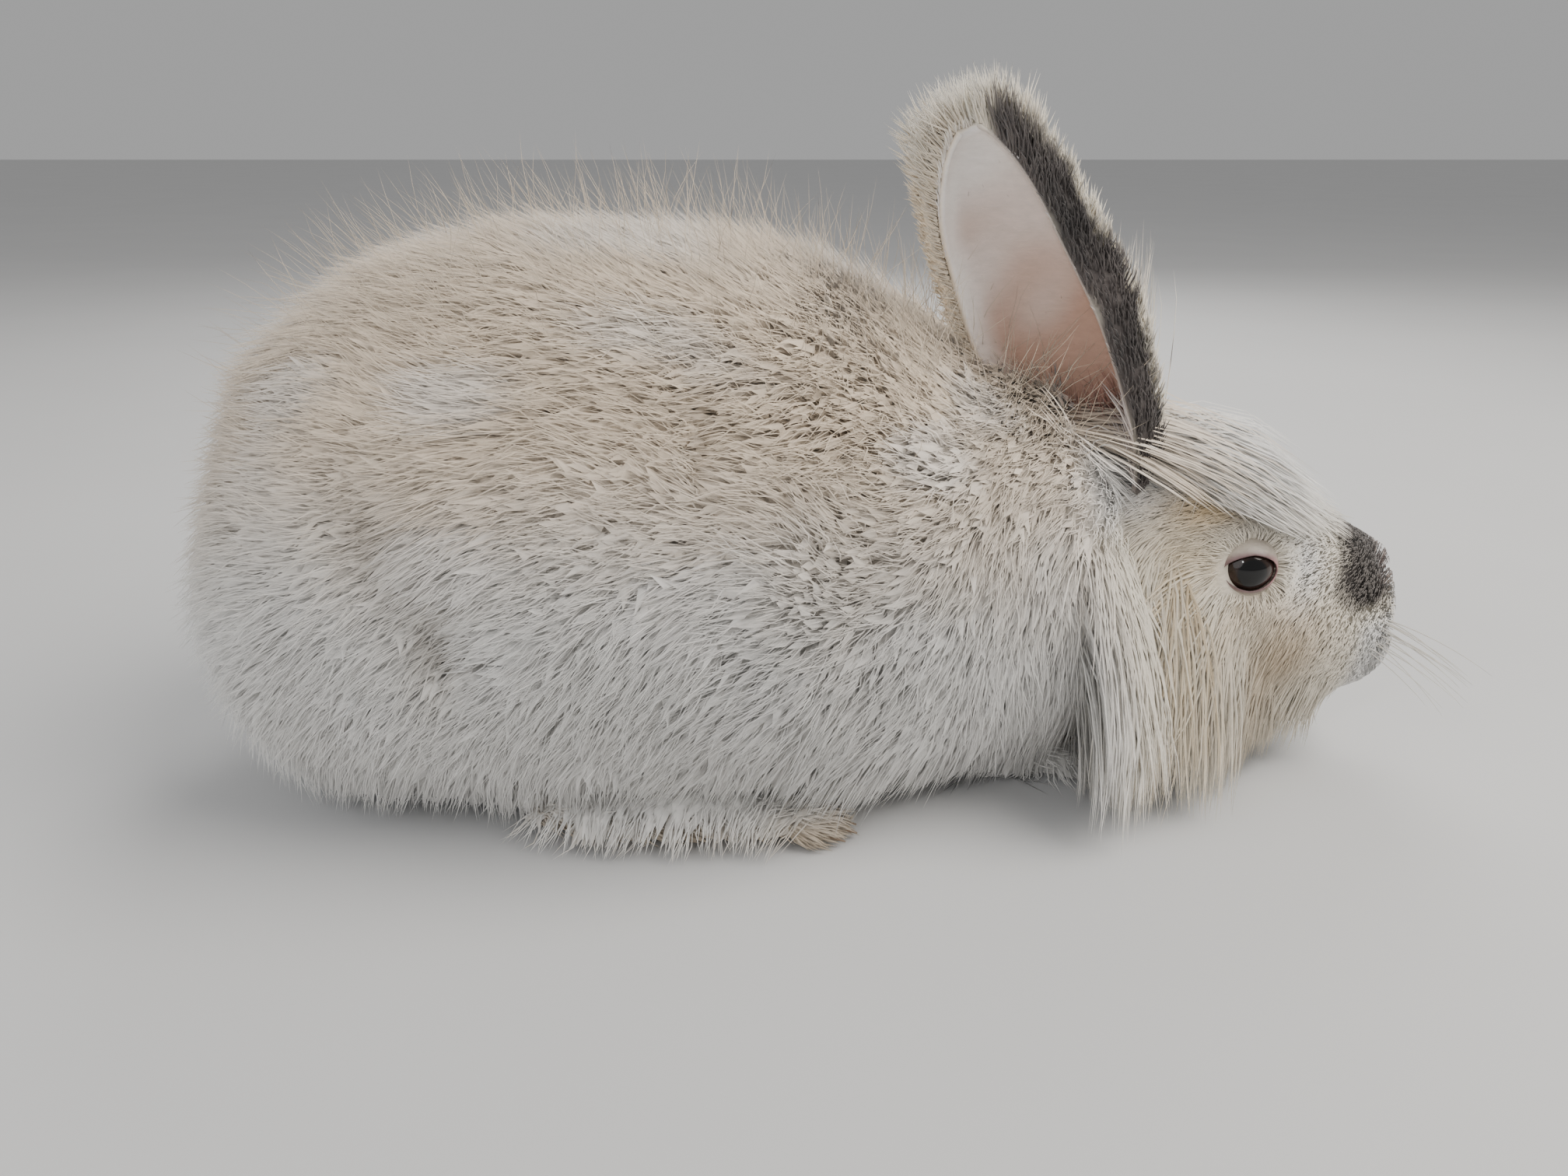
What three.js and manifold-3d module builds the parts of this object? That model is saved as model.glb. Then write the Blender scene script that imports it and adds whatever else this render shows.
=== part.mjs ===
// A life-size angora rabbit crouching on a flat surface, still, as a museum model shows it.
// Millimetres. X runs to the nose, Y to the rabbit's left, Z up, and the feet rest on Z = 0.
// Each fleshy part is a lofted form. The wool stands on it as flat, tapered locks that lie
// along the body, and thin cuts part the whole into head, neck, torso, tail, legs, ears and eyes.

import * as THREE from "three";
import { ConvexGeometry } from "three/addons/geometries/ConvexGeometry.js";
import { mergeVertices } from "three/addons/utils/BufferGeometryUtils.js";
import Module from "manifold-3d";

const wasm = await Module();
wasm.setup();

// Driving dimensions.
const GAP = 0.3; // between parts that touch
const CORE_SHARE = 0.45; // of the wool's depth that is solid under the locks
const LOCK_SINK = 5; // how deep a lock's root goes into what it grows from
const LOCK_THICK = 3.4; // height of a lock's ridge
const FLOOR_CLEAR = 1; // the lowest that a lock's tip hangs
const UNDER = 0.3; // how far the wool of the hem still follows the curve under the belly
const HEM = 1.3; // how much longer the wool hangs there
const BEND = { along: 0.3, out: 1.3, least: 3 }; // where a lock turns over into its lie
const SPREAD = { stagger: 0.24, wobble: 0.03, length: 0.12, rise: 0.1, width: 0.08 }; // of a row's locks
const NEAR = { neck: 45, tail: 60, ear: 10 }; // how near a cut a lock grows to need room behind it
const END_SHARE = 0.004; // where a form's first ring lies, so that its round end isn't a point
const LIE_BACK = { fan: 0.3, down: 0.35, side: 0.5, low: 1.2, ease: 0.5 };
const LIE_NECK = { back: 0.55, ease: 0.35, out: 0.1, down: 1.1 };
const LOCK_RINGS = [
  { share: 0, wide: 0.6 },
  { share: 0.36, wide: 1 },
  { share: 0.7, wide: 0.66 },
];

// Stations of a form: x, z of its middle, half width, height above and depth below the middle,
// all at the skin, then the wool's depth. "out" moves a closed end with the wool.
const TORSO = {
  sides: 20,
  rings: 13,
  blunt: [0.22, 0.1],
  stations: [
    { x: -174, z: 72, wide: 44, top: 42, bottom: 40, wool: 42, out: -1 },
    { x: -140, z: 80, wide: 52, top: 52, bottom: 52, wool: 43 },
    { x: -95, z: 84, wide: 60, top: 60, bottom: 56, wool: 43 },
    { x: -45, z: 84, wide: 64, top: 62, bottom: 56, wool: 43 },
    { x: 5, z: 82, wide: 60, top: 56, bottom: 54, wool: 42 },
    { x: 45, z: 78, wide: 48, top: 46, bottom: 50, wool: 38 },
    { x: 80, z: 76, wide: 36, top: 36, bottom: 44, wool: 32 },
    { x: 118, z: 76, wide: 28, top: 30, bottom: 36, wool: 24 },
  ],
};
const HEAD = {
  sides: 20,
  rings: 12,
  blunt: [0.16, 0.16],
  stations: [
    { x: 92, z: 78, wide: 25, top: 33, bottom: 36, wool: 4 },
    { x: 122, z: 73, wide: 30, top: 44, bottom: 42, wool: 5 },
    { x: 150, z: 67, wide: 31, top: 42, bottom: 44, wool: 4 },
    { x: 176, z: 58, wide: 25, top: 37, bottom: 36, wool: 3 },
    { x: 197, z: 52, wide: 18, top: 31, bottom: 27, wool: 2.5 },
    { x: 211, z: 50, wide: 14, top: 25, bottom: 20, wool: 2, out: 1 },
  ],
};
const EYE = {
  at: new THREE.Vector3(153, 24, 78),
  radius: 9.5,
  lid: 1.9,
  slit: [8.8, 6.4],
  sides: 14,
  rings: 8,
};
const NOSE = { at: new THREE.Vector3(203, 0, 65), size: [11, 9.5, 9] };
const NOSTRIL = { at: new THREE.Vector3(212.5, 5.2, 65.5), size: [4, 1.2, 3.2], lean: 0.55 };
const WHISKER_PAD = { at: new THREE.Vector3(194, 7, 50), size: [20.5, 12.5, 15] };
const CHIN = { at: new THREE.Vector3(188, 0, 34), size: [22, 13, 14] };
const CLEFT = { at: new THREE.Vector3(216, 0, 53), size: [5, 0.9, 9] };
const MOUTH = {
  z: 41,
  from: 184,
  reach: 36,
  wide: 40,
  thick: 1.3,
  droop: 0.14,
  inner: new THREE.Vector3(188, 0, 41),
  kept: [22, 15, 12],
};
const EAR = {
  steps: 8,
  spread: 8,
  thick: 2.6,
  from: -1.25,
  to: 2.5,
  bias: 1.15, // brings the blade's rings closer together at the base
  tip: { from: 0.8, flat: 0.94 }, // where the blade starts to round off, and how far it does
  room: { steps: 9, step: 0.1, back: 8, around: 2, sides: 16 },
  path: [
    { x: 108, y: 17, z: 102, wide: 13, deep: 10 },
    { x: 99, y: 21, z: 125, wide: 20, deep: 12 },
    { x: 84, y: 25, z: 152, wide: 25.5, deep: 12 },
    { x: 69, y: 27, z: 182, wide: 22, deep: 10 },
    { x: 54, y: 28, z: 215, wide: 16, deep: 7 },
  ],
};
const EAR_TUFT = {
  count: 6,
  t: 0.88,
  stagger: 0.1,
  share: [0.02, 0.74],
  lean: [-0.3, 0.45],
  length: 31,
  width: 15,
  rise: 3,
  thick: 2.4,
};
const EAR_FRINGE = {
  t: 0.56,
  edges: [
    { share: 0.02, lean: -0.4 },
    { share: 0.72, lean: 0.35 },
  ],
  length: 28,
  width: 12,
  rise: 4,
  thick: 2,
};
const TAIL = {
  at: new THREE.Vector3(-178, 0, 50),
  size: [20, 15, 26],
  zone: [30, 22, 33],
  tiers: [-0.6, 0.2],
  step: 0.7,
  across: 3,
  lock: { length: 20, rise: 8, width: 16, thick: 3.5 },
};
const THIGH = {
  at: new THREE.Vector3(-56, 56, 12),
  size: [50, 24, 27],
  zone: [54, 29],
  inner: 32,
  across: 70,
};
const HIND_FOOT = { heel: -84, toe: 20, y: 66, wide: 11, high: 9, toeSize: [9, 4.2, 4.6] };
const FORE_FOOT = { heel: 66, toe: 106, y: 21, wide: 9.5, high: 10, toeSize: [6.5, 3.3, 4.2] };
const SOLE = { middle: 0.46, half: 0.48, lift: 0.55 }; // shares of a foot's length and height
const TOE = { longest: 0.1, step: 0.6, lift: 0.8 };
const HIND_TOES = [-0.75, -0.25, 0.25, 0.75]; // shares of the foot's width
const FORE_TOES = [-0.5, 0.5];
const TOE_TUFT = { back: 22, z: 12, length: 19, rise: 1, width: 7, thick: 2.4, sink: 3 };
const ARM = { forward: 10, lift: 0.7, half: 13, extra: 1 };
const FOOT_ZONE = { high: 23, side: 5, hindBack: 4, foreBack: 6, below: -1 };
const HUGE = 400; // larger than the rabbit each way
const CUTS = {
  neck: { x: 56, lean: 0.06 }, // between torso and neck
  head: { x: 97, lean: 0.1 }, // between neck and head
};

const COLOURS = { wool: 0xe4dccf, cream: 0xd8c6a8, ear: 0xcdb3a4, grey: 0x6b645c, eye: 0x120d0b };

// A seeded draw, so that the locks vary in the same way each time.
let seed = 7;
function vary(share) {
  seed = (seed * 1664525 + 1013904223) % 4294967296;
  return 1 + share * (2 * (seed / 4294967296) - 1);
}

function solid(geometry) {
  const bare = geometry.index ? geometry.toNonIndexed() : geometry.clone();
  bare.deleteAttribute("normal");
  bare.deleteAttribute("uv");
  const merged = mergeVertices(bare, 1e-4);
  return new wasm.Manifold(
    new wasm.Mesh({
      numProp: 3,
      vertProperties: merged.attributes.position.array,
      triVerts: new Uint32Array(merged.index.array),
    }),
  );
}

function joined(solids) {
  return solids.reduce((whole, piece) => whole.add(piece));
}

// The largest closed surface of a solid, without loose scraps.
function largest(whole) {
  const bodies = whole.decompose().filter((body) => body.volume() > 0);
  return bodies.reduce((a, b) => (a.volume() > b.volume() ? a : b));
}

function both(piece) {
  return piece.add(mirrored(piece));
}

function mirrored(whole) {
  return whole.mirror([0, 1, 0]);
}

function ellipsoid(at, size, sides = 16, rings = 10) {
  const ball = new THREE.SphereGeometry(1, sides, rings);
  ball.scale(...size);
  ball.translate(at.x, at.y, at.z);
  return solid(ball);
}

function box(low, high) {
  const shape = new THREE.BoxGeometry(high[0] - low[0], high[1] - low[1], high[2] - low[2]);
  shape.translate((low[0] + high[0]) / 2, (low[1] + high[1]) / 2, (low[2] + high[2]) / 2);
  return solid(shape);
}

// A closed mesh from rings of points that all have the same count, with a flat fan at each end.
function skinOver(rings) {
  const count = rings[0].length;
  const positions = rings.flat().flatMap((p) => [p.x, p.y, p.z]);
  const faces = [];
  for (let k = 0; k + 1 < rings.length; k++)
    for (let i = 0; i < count; i++) {
      const a = k * count + i;
      const b = k * count + ((i + 1) % count);
      faces.push(a, b, a + count, b, b + count, a + count);
    }
  const last = (rings.length - 1) * count;
  for (let i = 1; i + 1 < count; i++) {
    faces.push(0, i + 1, i);
    faces.push(last, last + i, last + i + 1);
  }
  const geometry = new THREE.BufferGeometry();
  geometry.setAttribute("position", new THREE.Float32BufferAttribute(positions, 3));
  geometry.setIndex(faces);
  return geometry;
}

// A form along its stations. at(t, a) gives the point at share t of its length and angle a
// around it, 0 to the left and a quarter turn up, and the outward direction there.
function formOf(shape, share, grow = 0) {
  const end = (s) => s.x + (s.out || 0) * (s.wool * share + grow);
  const middle = new THREE.CatmullRomCurve3(
    shape.stations.map((s) => new THREE.Vector3(end(s), 0, s.z)),
  );
  const sizes = new THREE.CatmullRomCurve3(
    shape.stations.map((s) => new THREE.Vector3(s.wide, s.top, s.bottom)),
  );
  const wools = new THREE.CatmullRomCurve3(
    shape.stations.map((s) => new THREE.Vector3(s.x, s.wool, 0)),
  );
  const rounding = (t) => {
    const head = Math.min(1, t / shape.blunt[0]);
    const tail = Math.min(1, (1 - t) / shape.blunt[1]);
    return Math.sqrt(1 - (1 - head) ** 2) * Math.sqrt(1 - (1 - tail) ** 2);
  };
  const point = (t, a) => {
    const size = sizes.getPoint(t);
    const extra = wools.getPoint(t).y * share + grow;
    const up = Math.sin(a) > 0 ? size.y : size.z;
    const p = middle.getPoint(t);
    p.y += (size.x + extra) * Math.cos(a) * rounding(t);
    p.z += (up + extra) * Math.sin(a) * rounding(t);
    return p;
  };
  const at = (t, a) => {
    const step = 0.01;
    const p = point(t, a);
    const along = point(Math.min(t + step, 1), a).sub(point(Math.max(t - step, 0), a));
    const round = point(t, a + step).sub(point(t, a - step));
    const normal = round.cross(along).normalize();
    if (normal.dot(p.clone().sub(middle.getPoint(t))) < 0) normal.negate();
    return { point: p, normal, wool: wools.getPoint(t).y };
  };
  return { at, point };
}

// Rings lie closer together towards the two ends, where the form is round.
function formSolid(shape, share, grow = 0) {
  const form = formOf(shape, share, grow);
  const rings = [];
  for (let k = 0; k <= shape.rings; k++) {
    const even = k / shape.rings;
    const eased = 0.5 * even + 0.25 * (1 - Math.cos(Math.PI * even));
    const t = END_SHARE + (1 - 2 * END_SHARE) * eased;
    const ring = [];
    for (let i = 0; i < shape.sides; i++)
      ring.push(form.point(t, (2 * Math.PI * i) / shape.sides));
    rings.push(ring);
  }
  return solid(skinOver(rings));
}

function aboveFloor(p, grow) {
  p.z = Math.max(p.z, FLOOR_CLEAR - grow);
  return p;
}

// The rings of one flat, tapered lock and its tip: a bent blade with a ridge on its outer side.
// It leaves its root along the normal and bends over to the lie. "grow" widens it all round.
function lockRings({ root, normal, lie, length, rise, width, thick, sink = LOCK_SINK }, grow = 0) {
  const start = root.clone().addScaledVector(normal, -sink);
  const tip = root.clone().addScaledVector(lie, length).addScaledVector(normal, rise);
  const bend = root.clone().addScaledVector(lie, length * BEND.along);
  bend.addScaledVector(normal, Math.max(rise, BEND.least) * BEND.out);
  const line = new THREE.QuadraticBezierCurve3(start, bend, tip.clone());
  const rings = LOCK_RINGS.map(({ share, wide }) => {
    const along = line.getTangent(share);
    const p = line.getPoint(share).addScaledVector(along, share > 0 ? 0 : -grow);
    const side = along.clone().cross(normal).normalize();
    const out = side.clone().cross(along).normalize();
    const half = (width * wide) / 2 + 2 * grow;
    const ring = [
      p.clone().addScaledVector(side, -half).addScaledVector(out, -grow),
      p.clone().addScaledVector(side, half).addScaledVector(out, -grow),
      p.clone().addScaledVector(out, thick + 2 * grow),
    ];
    if (grow > 0) ring.push(...ring.slice(0, 2).map((q) => q.clone().addScaledVector(out, 2 * grow)));
    return ring.map((point) => aboveFloor(point, grow));
  });
  const onwards = tip.clone().sub(line.getPoint(LOCK_RINGS.at(-1).share)).normalize();
  const beyond = tip.clone().addScaledVector(onwards, 8 * grow);
  return [...rings, grow > 0 ? [aboveFloor(tip, 0), aboveFloor(beyond, grow)] : [aboveFloor(tip, 0)]];
}

function lock(one) {
  const rings = lockRings(one);
  const positions = rings.flat().flatMap((p) => [p.x, p.y, p.z]);
  const faces = [0, 2, 1];
  const end = positions.length / 3 - 1;
  for (let k = 0; k + 2 < rings.length; k++)
    for (let i = 0; i < 3; i++) {
      const a = 3 * k + i;
      const b = 3 * k + ((i + 1) % 3);
      faces.push(a, b, a + 3, b, b + 3, a + 3);
    }
  for (let i = 0; i < 3; i++) faces.push(end - 3 + i, end - 3 + ((i + 1) % 3), end);
  const geometry = new THREE.BufferGeometry();
  geometry.setAttribute("position", new THREE.Float32BufferAttribute(positions, 3));
  geometry.setIndex(faces);
  return rightWayOut(geometry);
}

function locks(list) {
  return list.map(lock);
}

// The room that locks of one part take, on both sides of the body, for the parts beside it.
function roomOfLocks(list) {
  const rooms = list.map((one) => solid(new ConvexGeometry(lockRings(one, GAP).flat())));
  return both(joined(rooms));
}

// A solid whose faces look outwards, whichever way its rings ran.
function rightWayOut(geometry) {
  const made = solid(geometry);
  if (made.volume() > 0) return made;
  const faces = Array.from(geometry.index.array);
  geometry.setIndex(faces.map((_, i) => faces[i - (i % 3) + [0, 2, 1][i % 3]]));
  return solid(geometry);
}

// Shortens a lock that would reach the floor.
function hung(one) {
  const tip = one.root.clone().addScaledVector(one.lie, one.length);
  tip.addScaledVector(one.normal, one.rise);
  if (tip.z >= FLOOR_CLEAR) return one;
  const share = Math.max(0.3, (one.root.z - FLOOR_CLEAR) / (one.root.z - tip.z));
  return { ...one, length: one.length * share, rise: one.rise * share };
}

// The part of a direction that lies in a surface.
function alongSurface(direction, normal) {
  return direction.clone().addScaledVector(normal, -direction.dot(normal)).normalize();
}

// Locks in staggered rows round a form, from its top down to both sides. Each row's tips lie
// over the roots of the row that is next along the lie.
function rowsOfLocks(form, rows, lieAt) {
  const made = [];
  rows.forEach((row, k) => {
    for (let i = 0; i < row.count; i++) {
      const stagger = row.count > 2 ? SPREAD.stagger * (k % 2 ? 1 : -1) : 0;
      const share = (i + stagger) / (row.count - 1);
      const angle = Math.PI / 2 + (2 * share - 1) * row.reach + SPREAD.wobble * (vary(1) - 1);
      const { point, normal, wool } = form.at(row.t, angle);
      if (normal.z < 0) normal.setZ(normal.z * UNDER).normalize();
      const lie = alongSurface(lieAt(point, normal), normal);
      const length = row.length * vary(SPREAD.length) * (normal.z < 0 ? HEM : 1);
      const rise = wool * (1 - CORE_SHARE) * vary(SPREAD.rise) - (length * length) / (2 * row.round);
      const width = row.width * vary(SPREAD.width);
      made.push(hung({ root: point, normal, lie, length, rise, width, thick: LOCK_THICK }));
    }
  });
  return made;
}

// The wool of the back and flanks lies backwards and down, and fans out over the rump.
function lieOfBack(point, normal) {
  const fan = point.x < TORSO.stations[1].x ? LIE_BACK.fan : 0;
  const low = Math.max(0, (TORSO.stations[2].z - point.z) / TORSO.stations[2].bottom);
  const down = LIE_BACK.down + LIE_BACK.side * Math.abs(normal.y) + LIE_BACK.low * low;
  return new THREE.Vector3(LIE_BACK.ease * low - 1, fan * Math.sign(point.y), -down);
}

// The wool of the neck and chest hangs down.
function lieOfNeck(point, normal) {
  const back = LIE_NECK.ease * Math.abs(normal.y) - LIE_NECK.back;
  return new THREE.Vector3(back, LIE_NECK.out * Math.sign(point.y), -LIE_NECK.down);
}

const torsoRows = [
  { t: 0.03, count: 5, reach: 2.4, length: 34, width: 26, round: 60 },
  { t: 0.1, count: 9, reach: 2.25, length: 40, width: 29, round: 75 },
  { t: 0.185, count: 12, reach: 2.1, length: 45, width: 29, round: 90 },
  { t: 0.275, count: 11, reach: 2.0, length: 48, width: 30, round: 100 },
  { t: 0.365, count: 11, reach: 1.95, length: 50, width: 31, round: 105 },
  { t: 0.455, count: 11, reach: 1.95, length: 50, width: 31, round: 105 },
  { t: 0.545, count: 11, reach: 1.95, length: 50, width: 30, round: 105 },
  { t: 0.635, count: 11, reach: 2.0, length: 48, width: 30, round: 100 },
  { t: 0.715, count: 11, reach: 2.1, length: 44, width: 30, round: 95 },
];
const hemRows = [0.14, 0.23, 0.32, 0.41, 0.5, 0.59].map((t) => {
  return { t, count: 2, reach: 2.06, length: 42, width: 30, round: 160 };
});
const neckRows = [
  { t: 0.79, count: 9, reach: 2.2, length: 42, width: 28, round: 100 },
  { t: 0.865, count: 8, reach: 2.3, length: 38, width: 26, round: 90 },
  { t: 0.93, count: 6, reach: 1.7, length: 28, width: 23, round: 80 },
];

// A leaning flat cut: everything in front of it, or behind it, as a large block.
function half(cut, inFront, gap) {
  const block = new THREE.BoxGeometry(HUGE, HUGE, HUGE);
  block.translate(((inFront ? 1 : -1) * HUGE) / 2, 0, 0);
  block.rotateY(cut.lean);
  block.translate(cut.x + (inFront ? gap : -gap) / 2, 0, 0);
  return solid(block);
}

const floorUp = box([-HUGE, -HUGE, 0], [HUGE, HUGE, HUGE]);
const TORSO_CORE = formOf(TORSO, CORE_SHARE);
const torsoLocks = rowsOfLocks(TORSO_CORE, [...torsoRows, ...hemRows], lieOfBack);
const neckLocks = rowsOfLocks(TORSO_CORE, neckRows, lieOfNeck);

// The space that belongs to a hind leg, below the wool of the flank.
function hindZone(gap) {
  const column = new THREE.CylinderGeometry(1, 1, 1, 20);
  column.scale(THIGH.zone[0] + gap, THIGH.across, THIGH.zone[1] + gap);
  column.translate(THIGH.at.x, THIGH.inner - gap + THIGH.across / 2, THIGH.at.z);
  const low = [HIND_FOOT.heel - FOOT_ZONE.hindBack - gap, THIGH.inner - gap, FOOT_ZONE.below];
  const high = [HIND_FOOT.toe + FOOT_ZONE.side + gap, THIGH.inner + THIGH.across, FOOT_ZONE.high + gap];
  return solid(column).add(box(low, high));
}

function foreZone(gap) {
  const side = FORE_FOOT.wide + FOOT_ZONE.side;
  const low = [FORE_FOOT.heel - FOOT_ZONE.foreBack - gap, FORE_FOOT.y - side - gap, FOOT_ZONE.below];
  const high = [FORE_FOOT.toe + FOOT_ZONE.side + gap, FORE_FOOT.y + side + gap, FOOT_ZONE.high + gap];
  return box(low, high);
}

function tailZone(gap) {
  const size = TAIL.zone.map((s) => s + gap);
  return ellipsoid(new THREE.Vector3(TAIL.at.x - TAIL.zone[0] / 2, 0, TAIL.at.z), size);
}

// The room of a core in front of a cut, which the locks behind the cut leave free.
function roomOfCore(shape, share, cut) {
  return formSolid(shape, share, GAP).intersect(half(cut, true, -GAP));
}

function torso() {
  const core = formSolid(TORSO, CORE_SHARE)
    .intersect(half(CUTS.neck, false, GAP))
    .subtract(both(hindZone(GAP)))
    .subtract(tailZone(GAP));
  const kept = joined([core, ...locks(torsoLocks)])
    .intersect(floorUp)
    .subtract(both(foreZone(GAP)))
    .subtract(roomOfCore(TORSO, CORE_SHARE, CUTS.neck))
    .subtract(roomOfLocks([...neckLocks, ...headLocks.filter(nearNeck), ...earLocks]))
    .subtract(both(earHull(GAP)));
  return largest(kept);
}

function neck() {
  const core = formSolid(TORSO, CORE_SHARE)
    .intersect(half(CUTS.neck, true, GAP))
    .intersect(half(CUTS.head, false, GAP));
  const kept = joined([core, ...locks(neckLocks)])
    .intersect(floorUp)
    .subtract(both(foreZone(GAP)))
    .subtract(roomOfCore(HEAD, 1, CUTS.head))
    .subtract(roomOfLocks([...headLocks.filter(nearNeck), ...earLocks]))
    .subtract(both(earHull(GAP)));
  return largest(kept);
}

function nearNeck({ root }) {
  return root.x < CUTS.head.x + NEAR.neck;
}

function tail() {
  const core = ellipsoid(TAIL.at, TAIL.size, 12, 6);
  const list = [];
  for (const lift of TAIL.tiers)
    for (let i = 0; i < TAIL.across; i++) {
      const turn = (i - (TAIL.across - 1) / 2) * TAIL.step;
      const flat = Math.cos(lift);
      const normal = new THREE.Vector3(-flat * Math.cos(turn), flat * Math.sin(turn), Math.sin(lift));
      const root = TAIL.at.clone().add(normal.clone().multiply(new THREE.Vector3(...TAIL.size)));
      const lie = alongSurface(new THREE.Vector3(-0.4, 0, 1), normal);
      list.push({ ...TAIL.lock, root, normal, lie, length: TAIL.lock.length * vary(SPREAD.length) });
    }
  const kept = joined([core, ...locks(list)]).intersect(tailZone(0)).intersect(floorUp);
  return largest(kept.subtract(roomOfLocks(torsoLocks.filter(nearTail))));
}

function nearTail({ root }) {
  return root.x < TORSO.stations[1].x && Math.abs(root.y) < NEAR.tail;
}

// A foot as a low form from heel to toe, with toes as round ends and a flat sole.
function foot(size, toes) {
  const length = size.toe - size.heel;
  const sole = ellipsoid(
    new THREE.Vector3(size.heel + length * SOLE.middle, size.y, size.high * SOLE.lift),
    [length * SOLE.half, size.wide, size.high],
    12,
    6,
  );
  const ends = toes.map((share) => {
    const [long, , high] = size.toeSize;
    const x = size.toe - long - Math.abs(share - TOE.longest) * long * TOE.step;
    const at = new THREE.Vector3(x, size.y + share * size.wide, high * TOE.lift);
    return ellipsoid(at, size.toeSize, 8, 5);
  });
  return joined([sole, ...ends]);
}

function hindLeg() {
  const thigh = ellipsoid(THIGH.at, THIGH.size, 18, 10);
  const tuft = HIND_TOES.map((share) => {
    const y = HIND_FOOT.y + share * HIND_FOOT.wide;
    const root = new THREE.Vector3(HIND_FOOT.toe - TOE_TUFT.back, y, TOE_TUFT.z);
    const normal = new THREE.Vector3(0.1, share * 0.8, 1).normalize();
    const lie = alongSurface(new THREE.Vector3(1, share * 0.3, -0.35), normal);
    return { ...TOE_TUFT, root, normal, lie, length: TOE_TUFT.length * vary(SPREAD.length) };
  });
  const flesh = thigh.intersect(formSolid(TORSO, CORE_SHARE)).intersect(hindZone(0));
  const whole = joined([flesh, foot(HIND_FOOT, HIND_TOES), ...locks(tuft)]).intersect(floorUp);
  const over = torsoLocks.filter(({ root }) => root.z < THIGH.at.z + THIGH.across);
  return largest(whole.subtract(roomOfLocks(over)));
}

function foreLeg() {
  const arm = ellipsoid(
    new THREE.Vector3(FORE_FOOT.heel + ARM.forward, FORE_FOOT.y, FOOT_ZONE.high * ARM.lift),
    [ARM.half, FORE_FOOT.wide + ARM.extra, FOOT_ZONE.high],
    10,
    6,
  );
  const whole = arm.add(foot(FORE_FOOT, FORE_TOES));
  return largest(whole.intersect(foreZone(0)).intersect(floorUp));
}

// Frames along an ear: its middle, forwards across it, and the way its cup opens.
function earFrame(t) {
  const line = new THREE.CatmullRomCurve3(EAR.path.map((s) => new THREE.Vector3(s.x, s.y, s.z)));
  const sizes = new THREE.CatmullRomCurve3(EAR.path.map((s) => new THREE.Vector3(s.wide, s.deep, 0)));
  const along = line.getTangent(t);
  const forward = new THREE.Vector3(1, 0.12, 0).addScaledVector(along, -along.x).normalize();
  const open = along.clone().cross(forward).normalize();
  if (open.y < 0) open.negate();
  const end = Math.max(0, (t - EAR.tip.from) / (1 - EAR.tip.from));
  const rounding = Math.sqrt(1 - end ** 2 * EAR.tip.flat);
  const size = sizes.getPoint(t);
  return { middle: line.getPoint(t), along, forward, open, wide: size.x * rounding, deep: size.y * rounding };
}

// One point of the ear's blade: turn goes from the rear edge round the back to the front edge,
// which is rolled over, and side is +1 outside and -1 inside.
function earPoint(t, turn, side, grow = 0) {
  const f = earFrame(t);
  const flat = new THREE.Vector2(f.wide * Math.sin(turn), -f.deep * Math.cos(turn));
  const out = new THREE.Vector2(Math.sin(turn) / f.wide, -Math.cos(turn) / f.deep).normalize();
  flat.addScaledVector(out, (side * EAR.thick) / 2 + grow);
  return f.middle.clone().addScaledVector(f.forward, flat.x).addScaledVector(f.open, flat.y);
}

function earBlade() {
  const rings = [];
  for (let k = 0; k <= EAR.steps; k++) {
    const t = 1 - (1 - k / EAR.steps) ** EAR.bias;
    const ring = [];
    for (let i = 0; i <= EAR.spread; i++)
      ring.push(earPoint(t, EAR.from + ((EAR.to - EAR.from) * i) / EAR.spread, 1));
    for (let i = EAR.spread; i >= 0; i--)
      ring.push(earPoint(t, EAR.from + ((EAR.to - EAR.from) * i) / EAR.spread, -1));
    rings.push(ring);
  }
  const count = rings[0].length;
  const positions = rings.flat().flatMap((p) => [p.x, p.y, p.z]);
  const faces = [];
  for (let k = 0; k < EAR.steps; k++)
    for (let i = 0; i < count; i++) {
      const a = k * count + i;
      const b = k * count + ((i + 1) % count);
      faces.push(a, b, a + count, b, b + count, a + count);
    }
  const last = EAR.steps * count;
  for (let i = 0; i < EAR.spread; i++) {
    const far = count - 1 - i;
    faces.push(i, far, i + 1, i + 1, far, far - 1);
    faces.push(last + i, last + i + 1, last + far, last + i + 1, last + far - 1, last + far);
  }
  const geometry = new THREE.BufferGeometry();
  geometry.setAttribute("position", new THREE.Float32BufferAttribute(positions, 3));
  geometry.setIndex(faces);
  return rightWayOut(geometry);
}

// The room that an ear takes among the wool behind it.
function earHull(grow) {
  const rings = [];
  const { steps, step, back, around, sides } = EAR.room;
  for (let k = -1; k < steps; k++) {
    const behind = k < 0 ? earFrame(0).along.multiplyScalar(-back) : new THREE.Vector3();
    const ring = [];
    for (let i = 0; i < sides; i++)
      ring.push(earPoint(Math.max(0, k * step), (2 * Math.PI * i) / sides, 1, around + grow).add(behind));
    rings.push(ring);
  }
  return rightWayOut(skinOver(rings));
}

// A lock on the outer side of an ear's blade, which leans away from the ear's middle.
function earLock(t, share, tuft, lean) {
  const turn = EAR.from + (EAR.to - EAR.from) * share;
  const { along, forward } = earFrame(t);
  const root = earPoint(t, turn, 0);
  const normal = earPoint(t, turn, 1).sub(root).normalize();
  const lie = along.clone().addScaledVector(forward, lean).normalize();
  const length = tuft.length * vary(SPREAD.length);
  const { width, rise, thick } = tuft;
  return { root, normal, lie: alongSurface(lie, normal), length, rise, width, thick, sink: 1 };
}

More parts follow.
